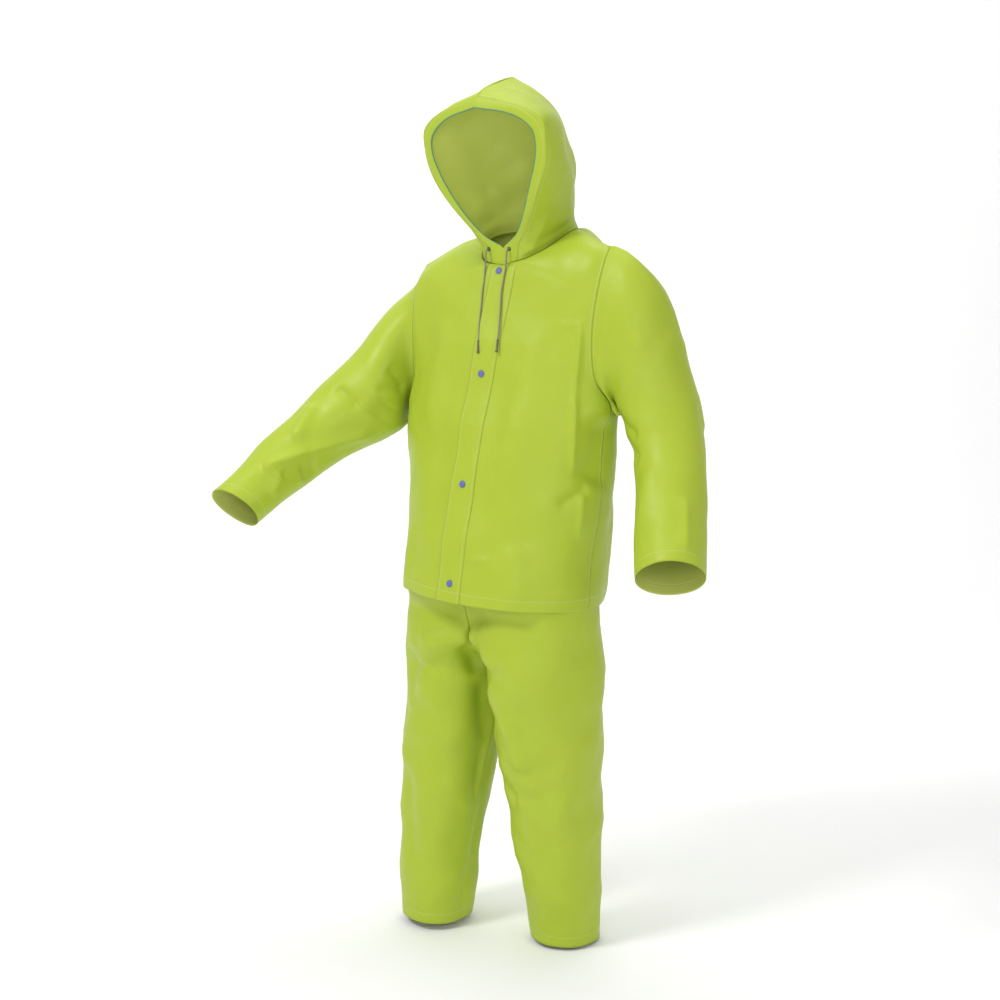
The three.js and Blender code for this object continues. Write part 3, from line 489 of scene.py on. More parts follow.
def sleeve_grid(side, rows=150):
    """A sleeve: the cap is a cubic from the armhole to the ring at SLEEVE_CAP, and rings follow it."""
    loop, angle = armhole_loop(side)
    ring = arm_rings(side, [SLEEVE_CAP], angle)
    following = arm_rings(side, [SLEEVE_CAP + 0.05], angle)
    high = (1 - np.cos(angle)) / 2
    out, rise = (mix(foot, top, high) for foot, top in zip(CAP_FOOT, CAP_TOP[side]))
    leave = np.stack([side * out, 0 * high, rise], -1)
    arrive = (following - ring) * (-SLEEVE_CAP / 0.15)
    cap_rows = round(rows * SLEEVE_CAP)
    t = np.linspace(0, 1, cap_rows + 1)[:-1, None, None]
    cap = bow(loop[None], leave[None], arrive, ring, t)
    arm = arm_rings(side, np.linspace(SLEEVE_CAP, 1, rows - cap_rows + 1), angle)
    grid = np.concatenate([cap, arm])
    return np.concatenate([grid, grid[:, :1]], 1)


def hood_points(level, turn, side):
    """A hood half: each row is a cubic from the casing seam to the centre back, and near the neck it moves
    over to the neck seam."""
    level, turn = np.broadcast_arrays(level, turn)

    def row_points(at):
        r = hood_row(at)
        zero = np.zeros_like(r[..., :1])
        t = ((turn - NECK_TURNS[1]) / (1 - NECK_TURNS[1]))[..., None]
        rear = np.concatenate([r[..., 6:7], zero, r[..., 7:8]], -1)
        return bow(r[..., 0:3], r[..., 3:6], rear, np.concatenate([zero, r[..., 8:10]], -1), t)

    share = (1 - smooth(level / HOOD_NECK_BLEND))[..., None]
    p = row_points(level) + (neck_points(turn) - row_points(np.zeros_like(level))) * share
    return posed(p * np.array([side, 1, 1]))


def rim_points(level, side):
    """The edge of the hood's opening, joined at the middle below RIM_PARTS and at the top."""
    p = rim_row(level)
    x = np.where((level <= RIM_PARTS) | (level >= 1), 0, p[..., 0]) * side
    return posed(np.stack([x, p[..., 1], p[..., 2]], -1))


HOOD_LEVELS = np.linspace(0, 1, 111)


def hood_grid(side):
    """A hood half: rows from the neck seam to the top, columns from the casing seam to the centre back."""
    return hood_points(HOOD_LEVELS[:, None], np.linspace(NECK_TURNS[1], 1, 73)[None, :], side)


def casing_grid(columns=8):
    """The casing round the opening: straight across from the hood's seam to the rim."""
    def half(side):
        seam = hood_points(HOOD_LEVELS, np.full_like(HOOD_LEVELS, NECK_TURNS[1]), side)
        edge = rim_points(HOOD_LEVELS, side)
        return np.stack([mix(seam, edge, t) for t in np.linspace(0, 1, columns + 1)], 1)

    return np.concatenate([half(LEFT), half(RIGHT)[::-1][1:]])


def leg_points(face, level, u, side):
    """A trouser leg: each row is a cubic from the inseam or rise to the side; above the hip row it draws in
    to the waist."""
    level, u = np.broadcast_arrays(level, u)
    share = np.clip((level - HIP) / (1 - HIP), 0, 1)
    row = (leg_front if face == "front" else leg_back)(np.minimum(level, HIP))
    zero = np.zeros_like(row[..., :1])
    rise = np.concatenate([zero, row[..., 0:2]], -1)
    inner = np.where((level < CROTCH)[..., None], inseam(level), rise)
    p = bow(inner, row[..., 5:8], row[..., 8:11], row[..., 2:5], u[..., None])
    step = stride(p[..., 2])[..., 0 if side == LEFT else 1]
    fit, axis = mix(1, WAIST_FIT, smooth(share)), mix(0, WAIST_AXIS_Y, smooth(share))
    z = np.where(level > HIP, mix(HIP_Z, WAIST_Z, share), p[..., 2])
    return posed(np.stack([side * p[..., 0] * fit, axis + (p[..., 1] + step) * fit, z], -1))


LEG_LEVELS = spaced([0, CROTCH, HIP, 1], LEG_LEVEL_STEP)


def leg_grid(side, columns=72):
    """A leg: rows from hem to waist, columns from the inseam round the front and the back to the inseam."""
    u = np.linspace(0, 1, columns + 1)
    level = LEG_LEVELS[:, None]
    front = leg_points("front", level, u[None, :], side)
    back = leg_points("back", level, u[None, ::-1][:, 1:], side)
    return np.concatenate([front, back], 1)


# Creases

def grid_normals(p, outward):
    """Unit normals of a grid, square to the central differences of its rows and columns, all outward."""
    n = np.cross(np.gradient(p, axis=1), np.gradient(p, axis=0))
    n /= np.maximum(np.linalg.norm(n, axis=-1, keepdims=True), 1e-9)
    return n if (n * (p - outward)).sum() > 0 else -n


def relief(p, suit, seed):
    """Slight unevenness of the film: a sum of plane waves of many directions and lengths, and of folded
    waves (less the size of a sine), whose tops run as faint straight ridges where a slow wave lets them.
    It is the same in each run."""
    rng = np.random.default_rng(seed)
    total = np.zeros(p.shape[:-1])
    for length, height in ((330, 2.4), (210, 1.5)):
        for _ in range(4):
            way, slow = (v * 2 * np.pi / np.linalg.norm(v) for v in rng.normal(size=(2, 3)))
            phase = rng.uniform(0, 2 * np.pi, 2)
            share = smooth(np.sin(p @ slow / 420 + phase[1]))
            total += height * share * (0.64 - np.abs(np.sin(p @ way / length + phase[0])))
    for length, height in ((260, 1.5), (170, 1.0), (105, 0.7), (64, 0.4)):
        for _ in range(5):
            way = rng.normal(size=3)
            way *= 2 * np.pi / length / np.linalg.norm(way)
            total += height / 2.2 * np.sin(p @ way + rng.uniform(0, 2 * np.pi))
    return total * suit.unevenness


SOFT_FROM = 15  # creases of this half width and more have round bottoms
LEG_UNEVENNESS = 1.6  # the legs hang loose, so their film is more uneven


def crease_height(p, normals, panel):
    """Sum of the panel's creases: each falls off as a bell across its line, measured along the panel,
    towards both of its ends, and where the panel lies far from the line."""
    total = np.zeros(p.shape[:-1])
    for name, *row in CREASES:
        if not panel.startswith(name):
            continue
        a, b, half, height = np.array(row[0:3]), np.array(row[3:6]), row[6], row[7]
        line = b - a
        length = np.linalg.norm(line)
        s = (p - a) @ line / length**2
        away = p - a - np.clip(s, 0, 1)[..., None] * line
        off = (away * normals).sum(-1)
        across = np.sqrt(np.maximum((away**2).sum(-1) - off**2, 0))
        ends = smooth((s + 0.12) / 0.3) * smooth((1.12 - s) / 0.3)
        sharp = 1.6 if half < SOFT_FROM else 2.2
        bell = np.exp(-((across / half) ** sharp)) * np.exp(-((off / OFF_LINE_FADE) ** 2))
        total += height * bell * ends
    return total


def edge_distance(p, sides):
    """Distance along the grid from each point to the nearest of the named sides (start, end, foot, top)."""
    step = np.linalg.norm(np.diff(p, axis=1), axis=-1)
    across = np.concatenate([np.zeros((len(p), 1)), np.cumsum(step, 1)], 1)
    step = np.linalg.norm(np.diff(p, axis=0), axis=-1)
    up = np.concatenate([np.zeros((1, p.shape[1])), np.cumsum(step, 0)], 0)
    found = {"start": across, "end": across[:, -1:] - across, "foot": up, "top": up[-1:] - up}
    return np.min([found[s] for s in sides], axis=0) if sides else np.full(p.shape[:-1], FAR)


def creased(p, panel, outward, sewn, suit, loops=()):
    """Moves a grid out by its creases and unevenness, which die out at the sewn edges and at the armholes.
    The way out is the panel's normal, which turns near the grid's sides into the line from the space
    inside, so that panels meet there."""
    normals = grid_normals(p, outward)
    share = LEG_UNEVENNESS if panel.startswith("leg") else 1.0
    lift = crease_height(p, normals, panel) + share * relief(p, suit, 7)
    lift *= smooth(edge_distance(p, sewn) / SEAM_FADE)
    for loop in loops:
        gap = np.linalg.norm(p[..., None, :] - loop[::3], axis=-1).min(-1)
        lift *= smooth((gap - 2) / ARMHOLE_FADE)
    radial = (p - outward) / np.linalg.norm(p - outward, axis=-1, keepdims=True)
    inner = smooth(edge_distance(p, ("start", "end")) / SIDE_FADE)[..., None]
    way = mix(radial, normals, inner)
    way /= np.linalg.norm(way, axis=-1, keepdims=True)
    return p + way * lift[..., None] * suit.crease_depth


# Meshes

def mesh_object(name, grids, material, inner=None, wall=1.0, sewn=(), hem=()):
    """One object from grids of points in millimetres, with the distance to seam and hem kept as
    attributes, welded where grids meet, and given its wall by a Solidify modifier that works inwards."""
    verts, faces, seam, fold = [], [], [], []
    count = 0
    for p in grids:
        m, n = p.shape[:2]
        index = count + np.arange(m * n).reshape(m, n)
        quads = np.stack([index[:-1, :-1], index[:-1, 1:], index[1:, 1:], index[1:, :-1]], -1)
        verts.append(p.reshape(-1, 3) * MM)
        faces.append(quads.reshape(-1, 4))
        seam.append(edge_distance(p, sewn).ravel())
        fold.append(edge_distance(p, hem).ravel())
        count += m * n
    mesh = bpy.data.meshes.new(name)
    mesh.from_pydata(np.concatenate(verts), [], np.concatenate(faces).tolist())
    for label, values in (("seam_mm", seam), ("hem_mm", fold)):
        layer = mesh.attributes.new(label, "FLOAT", "POINT")
        layer.data.foreach_set("value", np.concatenate(values).astype(np.float32))
    piece = bpy.data.objects.new(name, mesh)
    bpy.context.scene.collection.objects.link(piece)
    work = bmesh.new()
    work.from_mesh(mesh)
    bmesh.ops.remove_doubles(work, verts=work.verts, dist=WELD_DISTANCE)
    work.to_mesh(mesh)
    work.free()
    mesh.shade_smooth()
    piece.data.materials.append(material)
    if inner is not None:
        piece.data.materials.append(inner)
    if wall:
        shell = piece.modifiers.new("wall", "SOLIDIFY")
        shell.thickness = wall * MM
        shell.offset = -1
        shell.use_even_offset = False
        shell.material_offset = 1 if inner is not None else 0
    return piece


def face_outwards(p, outward):
    """Turns the grid over if its quads look at the space inside."""
    n = np.cross(p[:-1, 1:] - p[:-1, :-1], p[1:, :-1] - p[:-1, :-1])
    middle = (p[:-1, :-1] + p[1:, 1:]) / 2
    return p if (n * (middle - outward)).sum() > 0 else p[:, ::-1]


def turned(name, profile, foot, axis, material, sides=32):
    """A profile of radius and height turned round an axis that stands on the foot point."""
    profile = np.array(profile, float)
    axis = np.array(axis, float) / np.linalg.norm(axis)
    one = np.cross(axis, [1.0, 0.2, 0.1])
    one /= np.linalg.norm(one)
    two = np.cross(axis, one)
    a = np.linspace(0, 2 * np.pi, sides + 1)
    ring = np.cos(a)[None, :, None] * one + np.sin(a)[None, :, None] * two
    grid = np.array(foot) + profile[:, 0, None, None] * ring + profile[:, 1, None, None] * axis
    return mesh_object(name, [grid[:, ::-1]], material, wall=0)


def finish_piece(piece, node):
    """Stands a piece for its solid, in the row's one body."""
    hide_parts(node)
    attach(piece, "root")


# Materials

class Sheet:
    """A short way to add and link nodes in a shader tree."""

    def __init__(self, tree):
        self.tree = tree

    def node(self, kind, inputs=(), **settings):
        made = self.tree.nodes.new(kind)
        for key, value in settings.items():
            setattr(made, key, value)
        for key, value in dict(inputs).items():
            if isinstance(value, bpy.types.NodeSocket):
                self.tree.links.new(value, made.inputs[key])
            else:
                made.inputs[key].default_value = value
        return made

    def math(self, operation, a, b=0.0, c=0.0):
        return self.node("ShaderNodeMath", {0: a, 1: b, 2: c}, operation=operation).outputs[0]

    def noise(self, place, scale, detail, roughness):
        inputs = {"Vector": place, "Scale": scale, "Detail": detail, "Roughness": roughness}
        return self.node("ShaderNodeTexNoise", inputs).outputs[0]

    def blend(self, a, b, share):
        made = self.node("ShaderNodeMix", {0: share, 6: a, 7: b}, data_type="RGBA")
        return made.outputs[2]


def group(name, inputs, outputs):
    """A shader node group with named inputs (name, kind, default) and outputs (name, kind)."""
    tree = bpy.data.node_groups.new(name, "ShaderNodeTree")
    for label, kind, default in inputs:
        socket = tree.interface.new_socket(label, in_out="INPUT", socket_type=kind)
        socket.default_value = default
    for label, kind in outputs:
        tree.interface.new_socket(label, in_out="OUTPUT", socket_type=kind)
    sheet = Sheet(tree)
    return sheet, tree.nodes.new("NodeGroupInput"), tree.nodes.new("NodeGroupOutput")


def weld_group():
    """Weld line: a band at a set distance from a sewn or folded edge, as a share of 0 to 1."""
    sheet, given, out = group(
        "Weld Line",
        [
            ("Distance", "NodeSocketFloat", FAR),
            ("Place", "NodeSocketFloat", 5.0),
            ("Half Width", "NodeSocketFloat", 1.6),
        ],
        [("Band", "NodeSocketFloat")],
    )
    off = sheet.math("ABSOLUTE", sheet.math("SUBTRACT", given.outputs["Distance"], given.outputs["Place"]))
    share = sheet.math("DIVIDE", off, given.outputs["Half Width"])
    limits = {0: share, 1: 0.35, 2: 1.1, 3: 1.0, 4: 0.0}
    band = sheet.node("ShaderNodeMapRange", limits, interpolation_type="SMOOTHSTEP")
    sheet.tree.links.new(band.outputs[0], out.inputs["Band"])
    return sheet.tree


def film_group():
    """Coated film: slow colour drift, fine embossed grain and slight scuffs, in object coordinates."""
    sheet, given, out = group(
        "Coated Film",
        [
            ("Colour", "NodeSocketColor", (0.5, 0.6, 0.1, 1)),
            ("Deep Colour", "NodeSocketColor", (0.3, 0.4, 0.05, 1)),
            ("Drift", "NodeSocketFloat", 0.5),
            ("Grain Size", "NodeSocketFloat", 900.0),
        ],
        [("Colour", "NodeSocketColor"), ("Grain", "NodeSocketFloat"), ("Roughness", "NodeSocketFloat")],
    )
    place = sheet.node("ShaderNodeTexCoord").outputs["Object"]
    slow = sheet.noise(place, 7.0, 3.0, 0.55)
    patch = sheet.noise(place, 38.0, 4.0, 0.6)
    both = sheet.math("ADD", sheet.math("MULTIPLY", slow, 0.7), sheet.math("MULTIPLY", patch, 0.3))
    drift = sheet.math("MULTIPLY", both, given.outputs["Drift"])
    colour = sheet.blend(given.outputs["Colour"], given.outputs["Deep Colour"], drift)
    cells = sheet.node("ShaderNodeTexVoronoi", {"Vector": place, "Scale": given.outputs["Grain Size"]})
    grain = sheet.math("MULTIPLY", cells.outputs["Distance"], 0.6)
    scuff = sheet.math("MULTIPLY", sheet.noise(place, 120.0, 5.0, 0.65), 0.5)
    rough = sheet.node("ShaderNodeMapRange", {0: patch, 1: 0.3, 2: 0.7, 3: 0.38, 4: 0.52})
    sheet.tree.links.new(colour, out.inputs["Colour"])
    sheet.tree.links.new(sheet.math("ADD", grain, scuff), out.inputs["Grain"])
    sheet.tree.links.new(rough.outputs[0], out.inputs["Roughness"])
    return sheet.tree


def material(name):
    """An empty material with a Principled shader."""
    made = bpy.data.materials.new(name)
    made.use_nodes = True
    sheet = Sheet(made.node_tree)
    return made, sheet, made.node_tree.nodes["Principled BSDF"]


def use_group(sheet, tree, inputs):
    """A group node with its inputs set or linked."""
    node = sheet.node("ShaderNodeGroup", node_tree=tree)
    for key, value in inputs.items():
        if isinstance(value, bpy.types.NodeSocket):
            sheet.tree.links.new(value, node.inputs[key])
        else:
            node.inputs[key].default_value = value
    return node


def rgba(colour):
    return (*colour[:3], 1.0)


def film_material(name, colour, deep, film, weld, hem_place, trim=None):
    """Satin film: drifting colour, paler along its weld lines, which are pressed in, and a fine grain."""
    made, sheet, shader = material(name)
    tones = {"Colour": rgba(colour), "Deep Colour": rgba(deep)}
    base = use_group(sheet, film, {**tones, "Drift": 0.9, "Grain Size": 1100.0})
    seam = sheet.node("ShaderNodeAttribute", attribute_name="seam_mm").outputs["Fac"]
    hem = sheet.node("ShaderNodeAttribute", attribute_name="hem_mm").outputs["Fac"]
    line = use_group(sheet, weld, {"Distance": seam, "Place": 5.5, "Half Width": 1.5}).outputs["Band"]
    fold = use_group(sheet, weld, {"Distance": hem, "Place": hem_place, "Half Width": 1.6}).outputs["Band"]
    join = use_group(sheet, weld, {"Distance": seam, "Place": 0.0, "Half Width": 1.3}).outputs["Band"]
    lines = sheet.math("MAXIMUM", sheet.math("MAXIMUM", line, fold), sheet.math("MULTIPLY", join, 0.35))
    pale = rgba(mix(np.array(colour[:3]), 1.0, 0.16))
    colour_out = sheet.blend(base.outputs["Colour"], pale, sheet.math("MULTIPLY", lines, 0.36))
    if trim is not None:
        edge = use_group(sheet, weld, {"Distance": hem, "Place": 0.0, "Half Width": 3.6}).outputs["Band"]
        colour_out = sheet.blend(colour_out, rgba(trim), edge)
    height = sheet.math("SUBTRACT", sheet.math("MULTIPLY", base.outputs["Grain"], 0.10), lines)
    bump = sheet.node("ShaderNodeBump", {"Height": height, "Strength": 0.35, "Distance": 0.0012})
    sheet.tree.links.new(colour_out, shader.inputs["Base Color"])
    sheet.tree.links.new(base.outputs["Roughness"], shader.inputs["Roughness"])
    sheet.tree.links.new(bump.outputs[0], shader.inputs["Normal"])
    shader.inputs["Specular IOR Level"].default_value = 0.3
    return made


def plain_material(name, colour, deep, roughness, scale, bump_height, metallic):
    """Moulded or braided trim: two tones of a noise in object coordinates, with a matching bump."""
    made, sheet, shader = material(name)
    place = sheet.node("ShaderNodeTexCoord").outputs["Object"]
    noise = sheet.noise(place, scale, 4.0, 0.6)
    colour_out = sheet.blend(rgba(colour), rgba(deep), noise)
    bump = sheet.node("ShaderNodeBump", {"Height": noise, "Strength": 0.4, "Distance": bump_height})
    limits = {0: noise, 1: 0.3, 2: 0.7, 3: roughness - 0.07, 4: roughness + 0.07}
    rough = sheet.node("ShaderNodeMapRange", limits)
    sheet.tree.links.new(colour_out, shader.inputs["Base Color"])
    sheet.tree.links.new(rough.outputs[0], shader.inputs["Roughness"])
    sheet.tree.links.new(bump.outputs[0], shader.inputs["Normal"])
    shader.inputs["Metallic"].default_value = metallic
    return made


def cord_material(name, colour, deep):
    """Braid: two sets of slanting strands over the cord's own map, u round it and v in strand lengths."""
    made, sheet, shader = material(name)
    uv = sheet.node("ShaderNodeUVMap", uv_map="braid").outputs[0]
    part = sheet.node("ShaderNodeSeparateXYZ", {0: uv})
    waves = []
    for turn in (1.0, -1.0):
        slant = sheet.math("ADD", sheet.math("MULTIPLY", part.outputs[0], 4.0 * turn), part.outputs[1])
        waves.append(sheet.math("ABSOLUTE", sheet.math("SINE", sheet.math("MULTIPLY", slant, math.pi))))
    strand = sheet.math("MAXIMUM", waves[0], waves[1])
    # The gaps between the strands turn towards the deep tone: painted shade in the braid's grooves
    share = sheet.math("SUBTRACT", 1.0, strand)
    colour_out = sheet.blend(rgba(colour), rgba(deep), sheet.math("MULTIPLY", share, 2.2))
    bump = sheet.node("ShaderNodeBump", {"Height": strand, "Strength": 0.6, "Distance": 0.0004})
    sheet.tree.links.new(colour_out, shader.inputs["Base Color"])
    sheet.tree.links.new(bump.outputs[0], shader.inputs["Normal"])
    shader.inputs["Roughness"].default_value = 0.72
    return made


MATERIALS = {}

# Where the fold of a hem and of the casing shows, from its edge in millimetres, and the pale film's share:
# the factor that lightens the inside film into painted light for the insides of the hood and the back
HEM_TURN, CASING_FOLD = 22.0, 19.0
INSIDE_PAINTED_LIGHT = 1.35


def finishes(suit):
    """Makes the suit's finishes once and keeps them by name."""
    if not MATERIALS:
        film, weld = film_group(), weld_group()
        outer, inner = (suit.film_colour, suit.film_deep), (suit.inside_colour, suit.inside_deep)
        # The pale inside is painted light: the inside film made lighter, for the insides of the hood and of
        # the back
        pale = [tuple(min(1.0, INSIDE_PAINTED_LIGHT * c) for c in shade) for shade in inner]
        for key, name, tones, hem_place, trim in (
            ("outer", "lime film", outer, HEM_TURN, None),
            ("inner", "lime film inside", inner, HEM_TURN, None),
            ("pale", "lime film inside, painted light", pale, HEM_TURN, None),
            ("casing", "hood casing", outer, CASING_FOLD, suit.rim_colour),
            ("lining", "hood casing inside", inner, CASING_FOLD, suit.rim_colour),
        ):
            MATERIALS[key] = film_material(name, *tones, film, weld, hem_place, trim)
        for key, name, colour, deep, roughness, scale, bump_height, metallic in (
            ("snap", "snap cap", (0.10, 0.125, 0.36), (0.14, 0.17, 0.42), 0.5, 300.0, 0.0001, 0.0),
            ("eyelet", "eyelet", (0.06, 0.08, 0.055), (0.10, 0.12, 0.09), 0.4, 400.0, 0.0001, 0.4),
            ("tip", "cord tip", (0.10, 0.085, 0.065), (0.15, 0.13, 0.105), 0.42, 260.0, 0.0002, 0.0),
        ):
            MATERIALS[key] = plain_material(name, colour, deep, roughness, scale, bump_height, metallic)
        MATERIALS["cord"] = cord_material("drawstring braid", (0.30, 0.27, 0.21), (0.13, 0.115, 0.09))
    return MATERIALS


# Sizes that a user would change

def colour_setting(name, description, default):
    """A colour that a user of the add-on can change."""
    return FloatVectorProperty(
        name=name, description=description, subtype="COLOR", size=3, default=default, min=0, max=1
    )


class RainSuitSettings(bpy.types.PropertyGroup):
    """The film's colours, thickness and creases"""

    film_colour: colour_setting("Film colour", "Outer face of the film", (0.43, 0.535, 0.043))
    film_deep: colour_setting("Film deep colour", "Darker drift of the outer face", (0.375, 0.49, 0.030))
    inside_colour: colour_setting("Inside colour", "Inner face of the film", (0.55, 0.615, 0.15))
    inside_deep: colour_setting("Inside deep colour", "Darker drift of the inner face", (0.51, 0.57, 0.13))
    rim_colour: colour_setting("Rim colour", "Thin line along the hood's opening", (0.10, 0.27, 0.17))
    wall: FloatProperty(
        name="Film wall", description="Shown thickness in millimetres", default=1.0, min=0.3, max=3
    )
    crease_depth: FloatProperty(
        name="Crease depth", description="Share of the creases' whole height", default=1.0, min=0, max=2
    )
    unevenness: FloatProperty(
        name="Unevenness", description="Share of the slow waves' height", default=1.0, min=0, max=4
    )
    snap_sides: IntProperty(name="Snap sides", description="Steps round a snap", default=40, min=12, max=96)


def inside_axis(x, y):
    """The upright line at x and y: for each point, its place at the point's height."""
    return lambda p: np.stack([np.full(p.shape[:-1], x), np.full(p.shape[:-1], y), p[..., 2]], -1)


inside_torso = inside_axis(0.0, 50.0)


def inside_sleeve(side):
    """The arm's axis at the place nearest to each point."""
    along = np.linspace(0, 1, 21)
    line = arm_rows[side](along)[:, :3]
    return lambda p: line[np.argmin(np.linalg.norm(p[..., None, :] - line, axis=-1), axis=-1)]


class RAINSUIT_OT_stage(bpy.types.Operator):
    """Camera at the photograph's angle, pale backdrop and soft studio light"""

    bl_idname = "rainsuit.stage"
    bl_label = "Stage"

    def execute(self, context):
        azimuth, pitch, distance = math.radians(42.0), math.radians(7.74), 3.6
        camera = bpy.data.objects.new("camera", bpy.data.cameras.new("camera"))
        context.scene.collection.objects.link(camera)
        camera.data.lens = 62.21
        camera.data.sensor_width = 36.0
        camera.data.sensor_fit = "HORIZONTAL"
        camera.data.clip_end = 60
        aim_x, aim_y = -0.0045, -0.0041
        camera.location = (aim_x + distance * math.sin(azimuth), aim_y - distance * math.cos(azimuth), 0.0)
        camera.rotation_euler = (math.radians(90) - pitch, 0, azimuth)
        context.scene.camera = camera

        # A floor that turns up into a wall on a quarter circle, behind the suit as the camera sees it.
        floor, bend, reach = -1.4245, 1.6, 3.2
        a = np.linspace(0, np.pi / 2, 25)
        run = np.concatenate([[-4.0], reach + bend * np.sin(a), [reach + bend]])
        rise = np.concatenate([[0.0], bend * (1 - np.cos(a)), [6.5]]) + floor
        across = np.linspace(-9, 9, 3)
        away = np.array([-math.sin(azimuth), math.cos(azimuth), 0])
        sideways = np.array([math.cos(azimuth), math.sin(azimuth), 0])
        grid = run[:, None, None] * away + across[None, :, None] * sideways
        grid[..., 2] += rise[:, None]
        pale, _, shader = material("pale backdrop")
        shader.inputs["Base Color"].default_value = (0.98, 0.98, 0.98, 1)
        shader.inputs["Roughness"].default_value = 0.9
        shader.inputs["Specular IOR Level"].default_value = 0.1
        backdrop = mesh_object("backdrop", [grid / MM], pale, wall=0)

        context.scene.view_settings.view_transform = "Standard"
        world = bpy.data.worlds.new("studio")
        context.scene.world = world
        world.use_nodes = True
        world.node_tree.nodes["Background"].inputs["Color"].default_value = (1, 1, 1, 1)
        world.node_tree.nodes["Background"].inputs["Strength"].default_value = 0.47
        lights = (
            ("key", (-1.0, -3.6, 3.3), (0, 0, -0.5), 1.2, 118.0),
            ("side", (4.4, -1.2, 0.9), (0, 0, -0.5), 1.6, 24.0),
            ("top", (0.4, 0.2, 3.6), (0, 0, -0.5), 2.4, 18.0),
            ("fill", (2.3, -3.0, 0.5), (0, 0, -0.3), 1.2, 22.0),
            ("wash", (-0.8, 0.9, 3.2), (-3.2, 3.5, -0.2), 2.6, 95.0),
        )
        for name, place, aim, size, power in lights:
            lamp = bpy.data.objects.new(name, bpy.data.lights.new(name, "AREA"))
            lamp.data.shape = "SQUARE"
            lamp.data.size = size
            lamp.data.energy = power
            lamp.location = place
            way = np.array(aim) - np.array(place)
            tilt = math.acos(-way[2] / np.linalg.norm(way))
            lamp.rotation_euler = (tilt, 0, math.atan2(way[1], way[0]) - math.pi / 2)
            context.scene.collection.objects.link(lamp)
        return {"FINISHED"}


def cord_curve(route, steps):
    """A smooth curve through the route: each stretch is a cubic whose slopes follow the chords beside it."""
    p = np.array(route, float)
    along = np.concatenate([[0], np.cumsum(np.linalg.norm(np.diff(p, axis=0), axis=1))])
    return table_curve(np.column_stack([along, p]))(np.linspace(0, along[-1], steps))


def cord_grid(path, radius, sides):
    """A tube along a path: a ring at each point, square to the path, all starting on the same side."""
    tangent = np.gradient(path, axis=0)
    tangent /= np.linalg.norm(tangent, axis=1, keepdims=True)
    one = np.cross(tangent, [1.0, 0.0, 0.0])
    one /= np.linalg.norm(one, axis=1, keepdims=True)
    two = np.cross(tangent, one)
    a = np.linspace(0, 2 * np.pi, sides + 1)
    ring = np.cos(a)[None, :, None] * one[:, None] + np.sin(a)[None, :, None] * two[:, None]
    return path[:, None] + radius * ring


class RAINSUIT_OT_drawstrings(bpy.types.Operator):
    """The drawstring's two free ends, their moulded tips and the eyelets that they leave by"""

    bl_idname = "rainsuit.drawstrings"
    bl_label = "Drawstrings"

    def execute(self, context):
        looks = finishes(context.scene.rain_suit)
        for word, route in DRAWSTRING_ROUTES.items():
            path = cord_curve(route, CORD_STEPS)
            grid = cord_grid(path, CORD_DIAMETER / 2, CORD_SIDES)
            piece = mesh_object(f"braid_{word}", [grid], looks["cord"], wall=0)
            turns = np.repeat(np.linspace(0, CORD_STRANDS, len(path)), CORD_SIDES + 1)
            across = np.tile(np.linspace(0, 1, CORD_SIDES + 1), len(path))
            add_braid_map(piece, grid, across, turns)
            add_end_caps(piece, grid)
            finish_piece(piece, f"drawstring_{word}")
            away = path[-1] - path[-2]
            away /= np.linalg.norm(away)
            tip = self.tip(word, path[-1] + away * 0.2, away, looks["tip"])
            finish_piece(tip, f"cord_tip_{word}")
            self.eyelet(word, looks["eyelet"])
        return {"FINISHED"}

    def tip(self, word, foot, axis, look):
        """The moulded tip on the end of the cord."""
        return turned(f"tip_{word}", TIP_PROFILE, foot, axis, look, 24)

    def eyelet(self, word, look):
        """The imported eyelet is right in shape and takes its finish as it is."""
        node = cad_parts[f"eyelet_{word}"]
        node.data.materials.clear()
        node.data.materials.append(look)


def add_braid_map(piece, grid, across, turns):
    """The cord's own map: u once round it, v in strand lengths along it."""
    mesh = piece.data
    layer = mesh.uv_layers.new(name="braid")
    loops = np.empty(len(mesh.loops), int)
    mesh.loops.foreach_get("vertex_index", loops)
    place = np.empty(len(mesh.vertices) * 3)
    mesh.vertices.foreach_get("co", place)
    flat = grid.reshape(-1, 3) * MM
    order = np.argmin(((flat[None] - place.reshape(-1, 1, 3)) ** 2).sum(-1), 1)
    uv = np.column_stack([across[order], turns[order]])[loops]
    corner = uv.reshape(-1, 4, 2)
    wrap = corner[:, :, 0].max(1) - corner[:, :, 0].min(1) > 0.5
    low = corner[:, :, 0] < 0.5
    corner[:, :, 0] += np.where(wrap[:, None] & low, 1.0, 0.0)
    layer.data.foreach_set("uv", corner.reshape(-1))


def add_end_caps(piece, grid):
    """Closes the cord's two ends with a fan each."""
    work = bmesh.new()
    work.from_mesh(piece.data)
    ends = [e for e in work.edges if e.is_boundary]
    bmesh.ops.holes_fill(work, edges=ends, sides=0)
    work.to_mesh(piece.data)
    work.free()


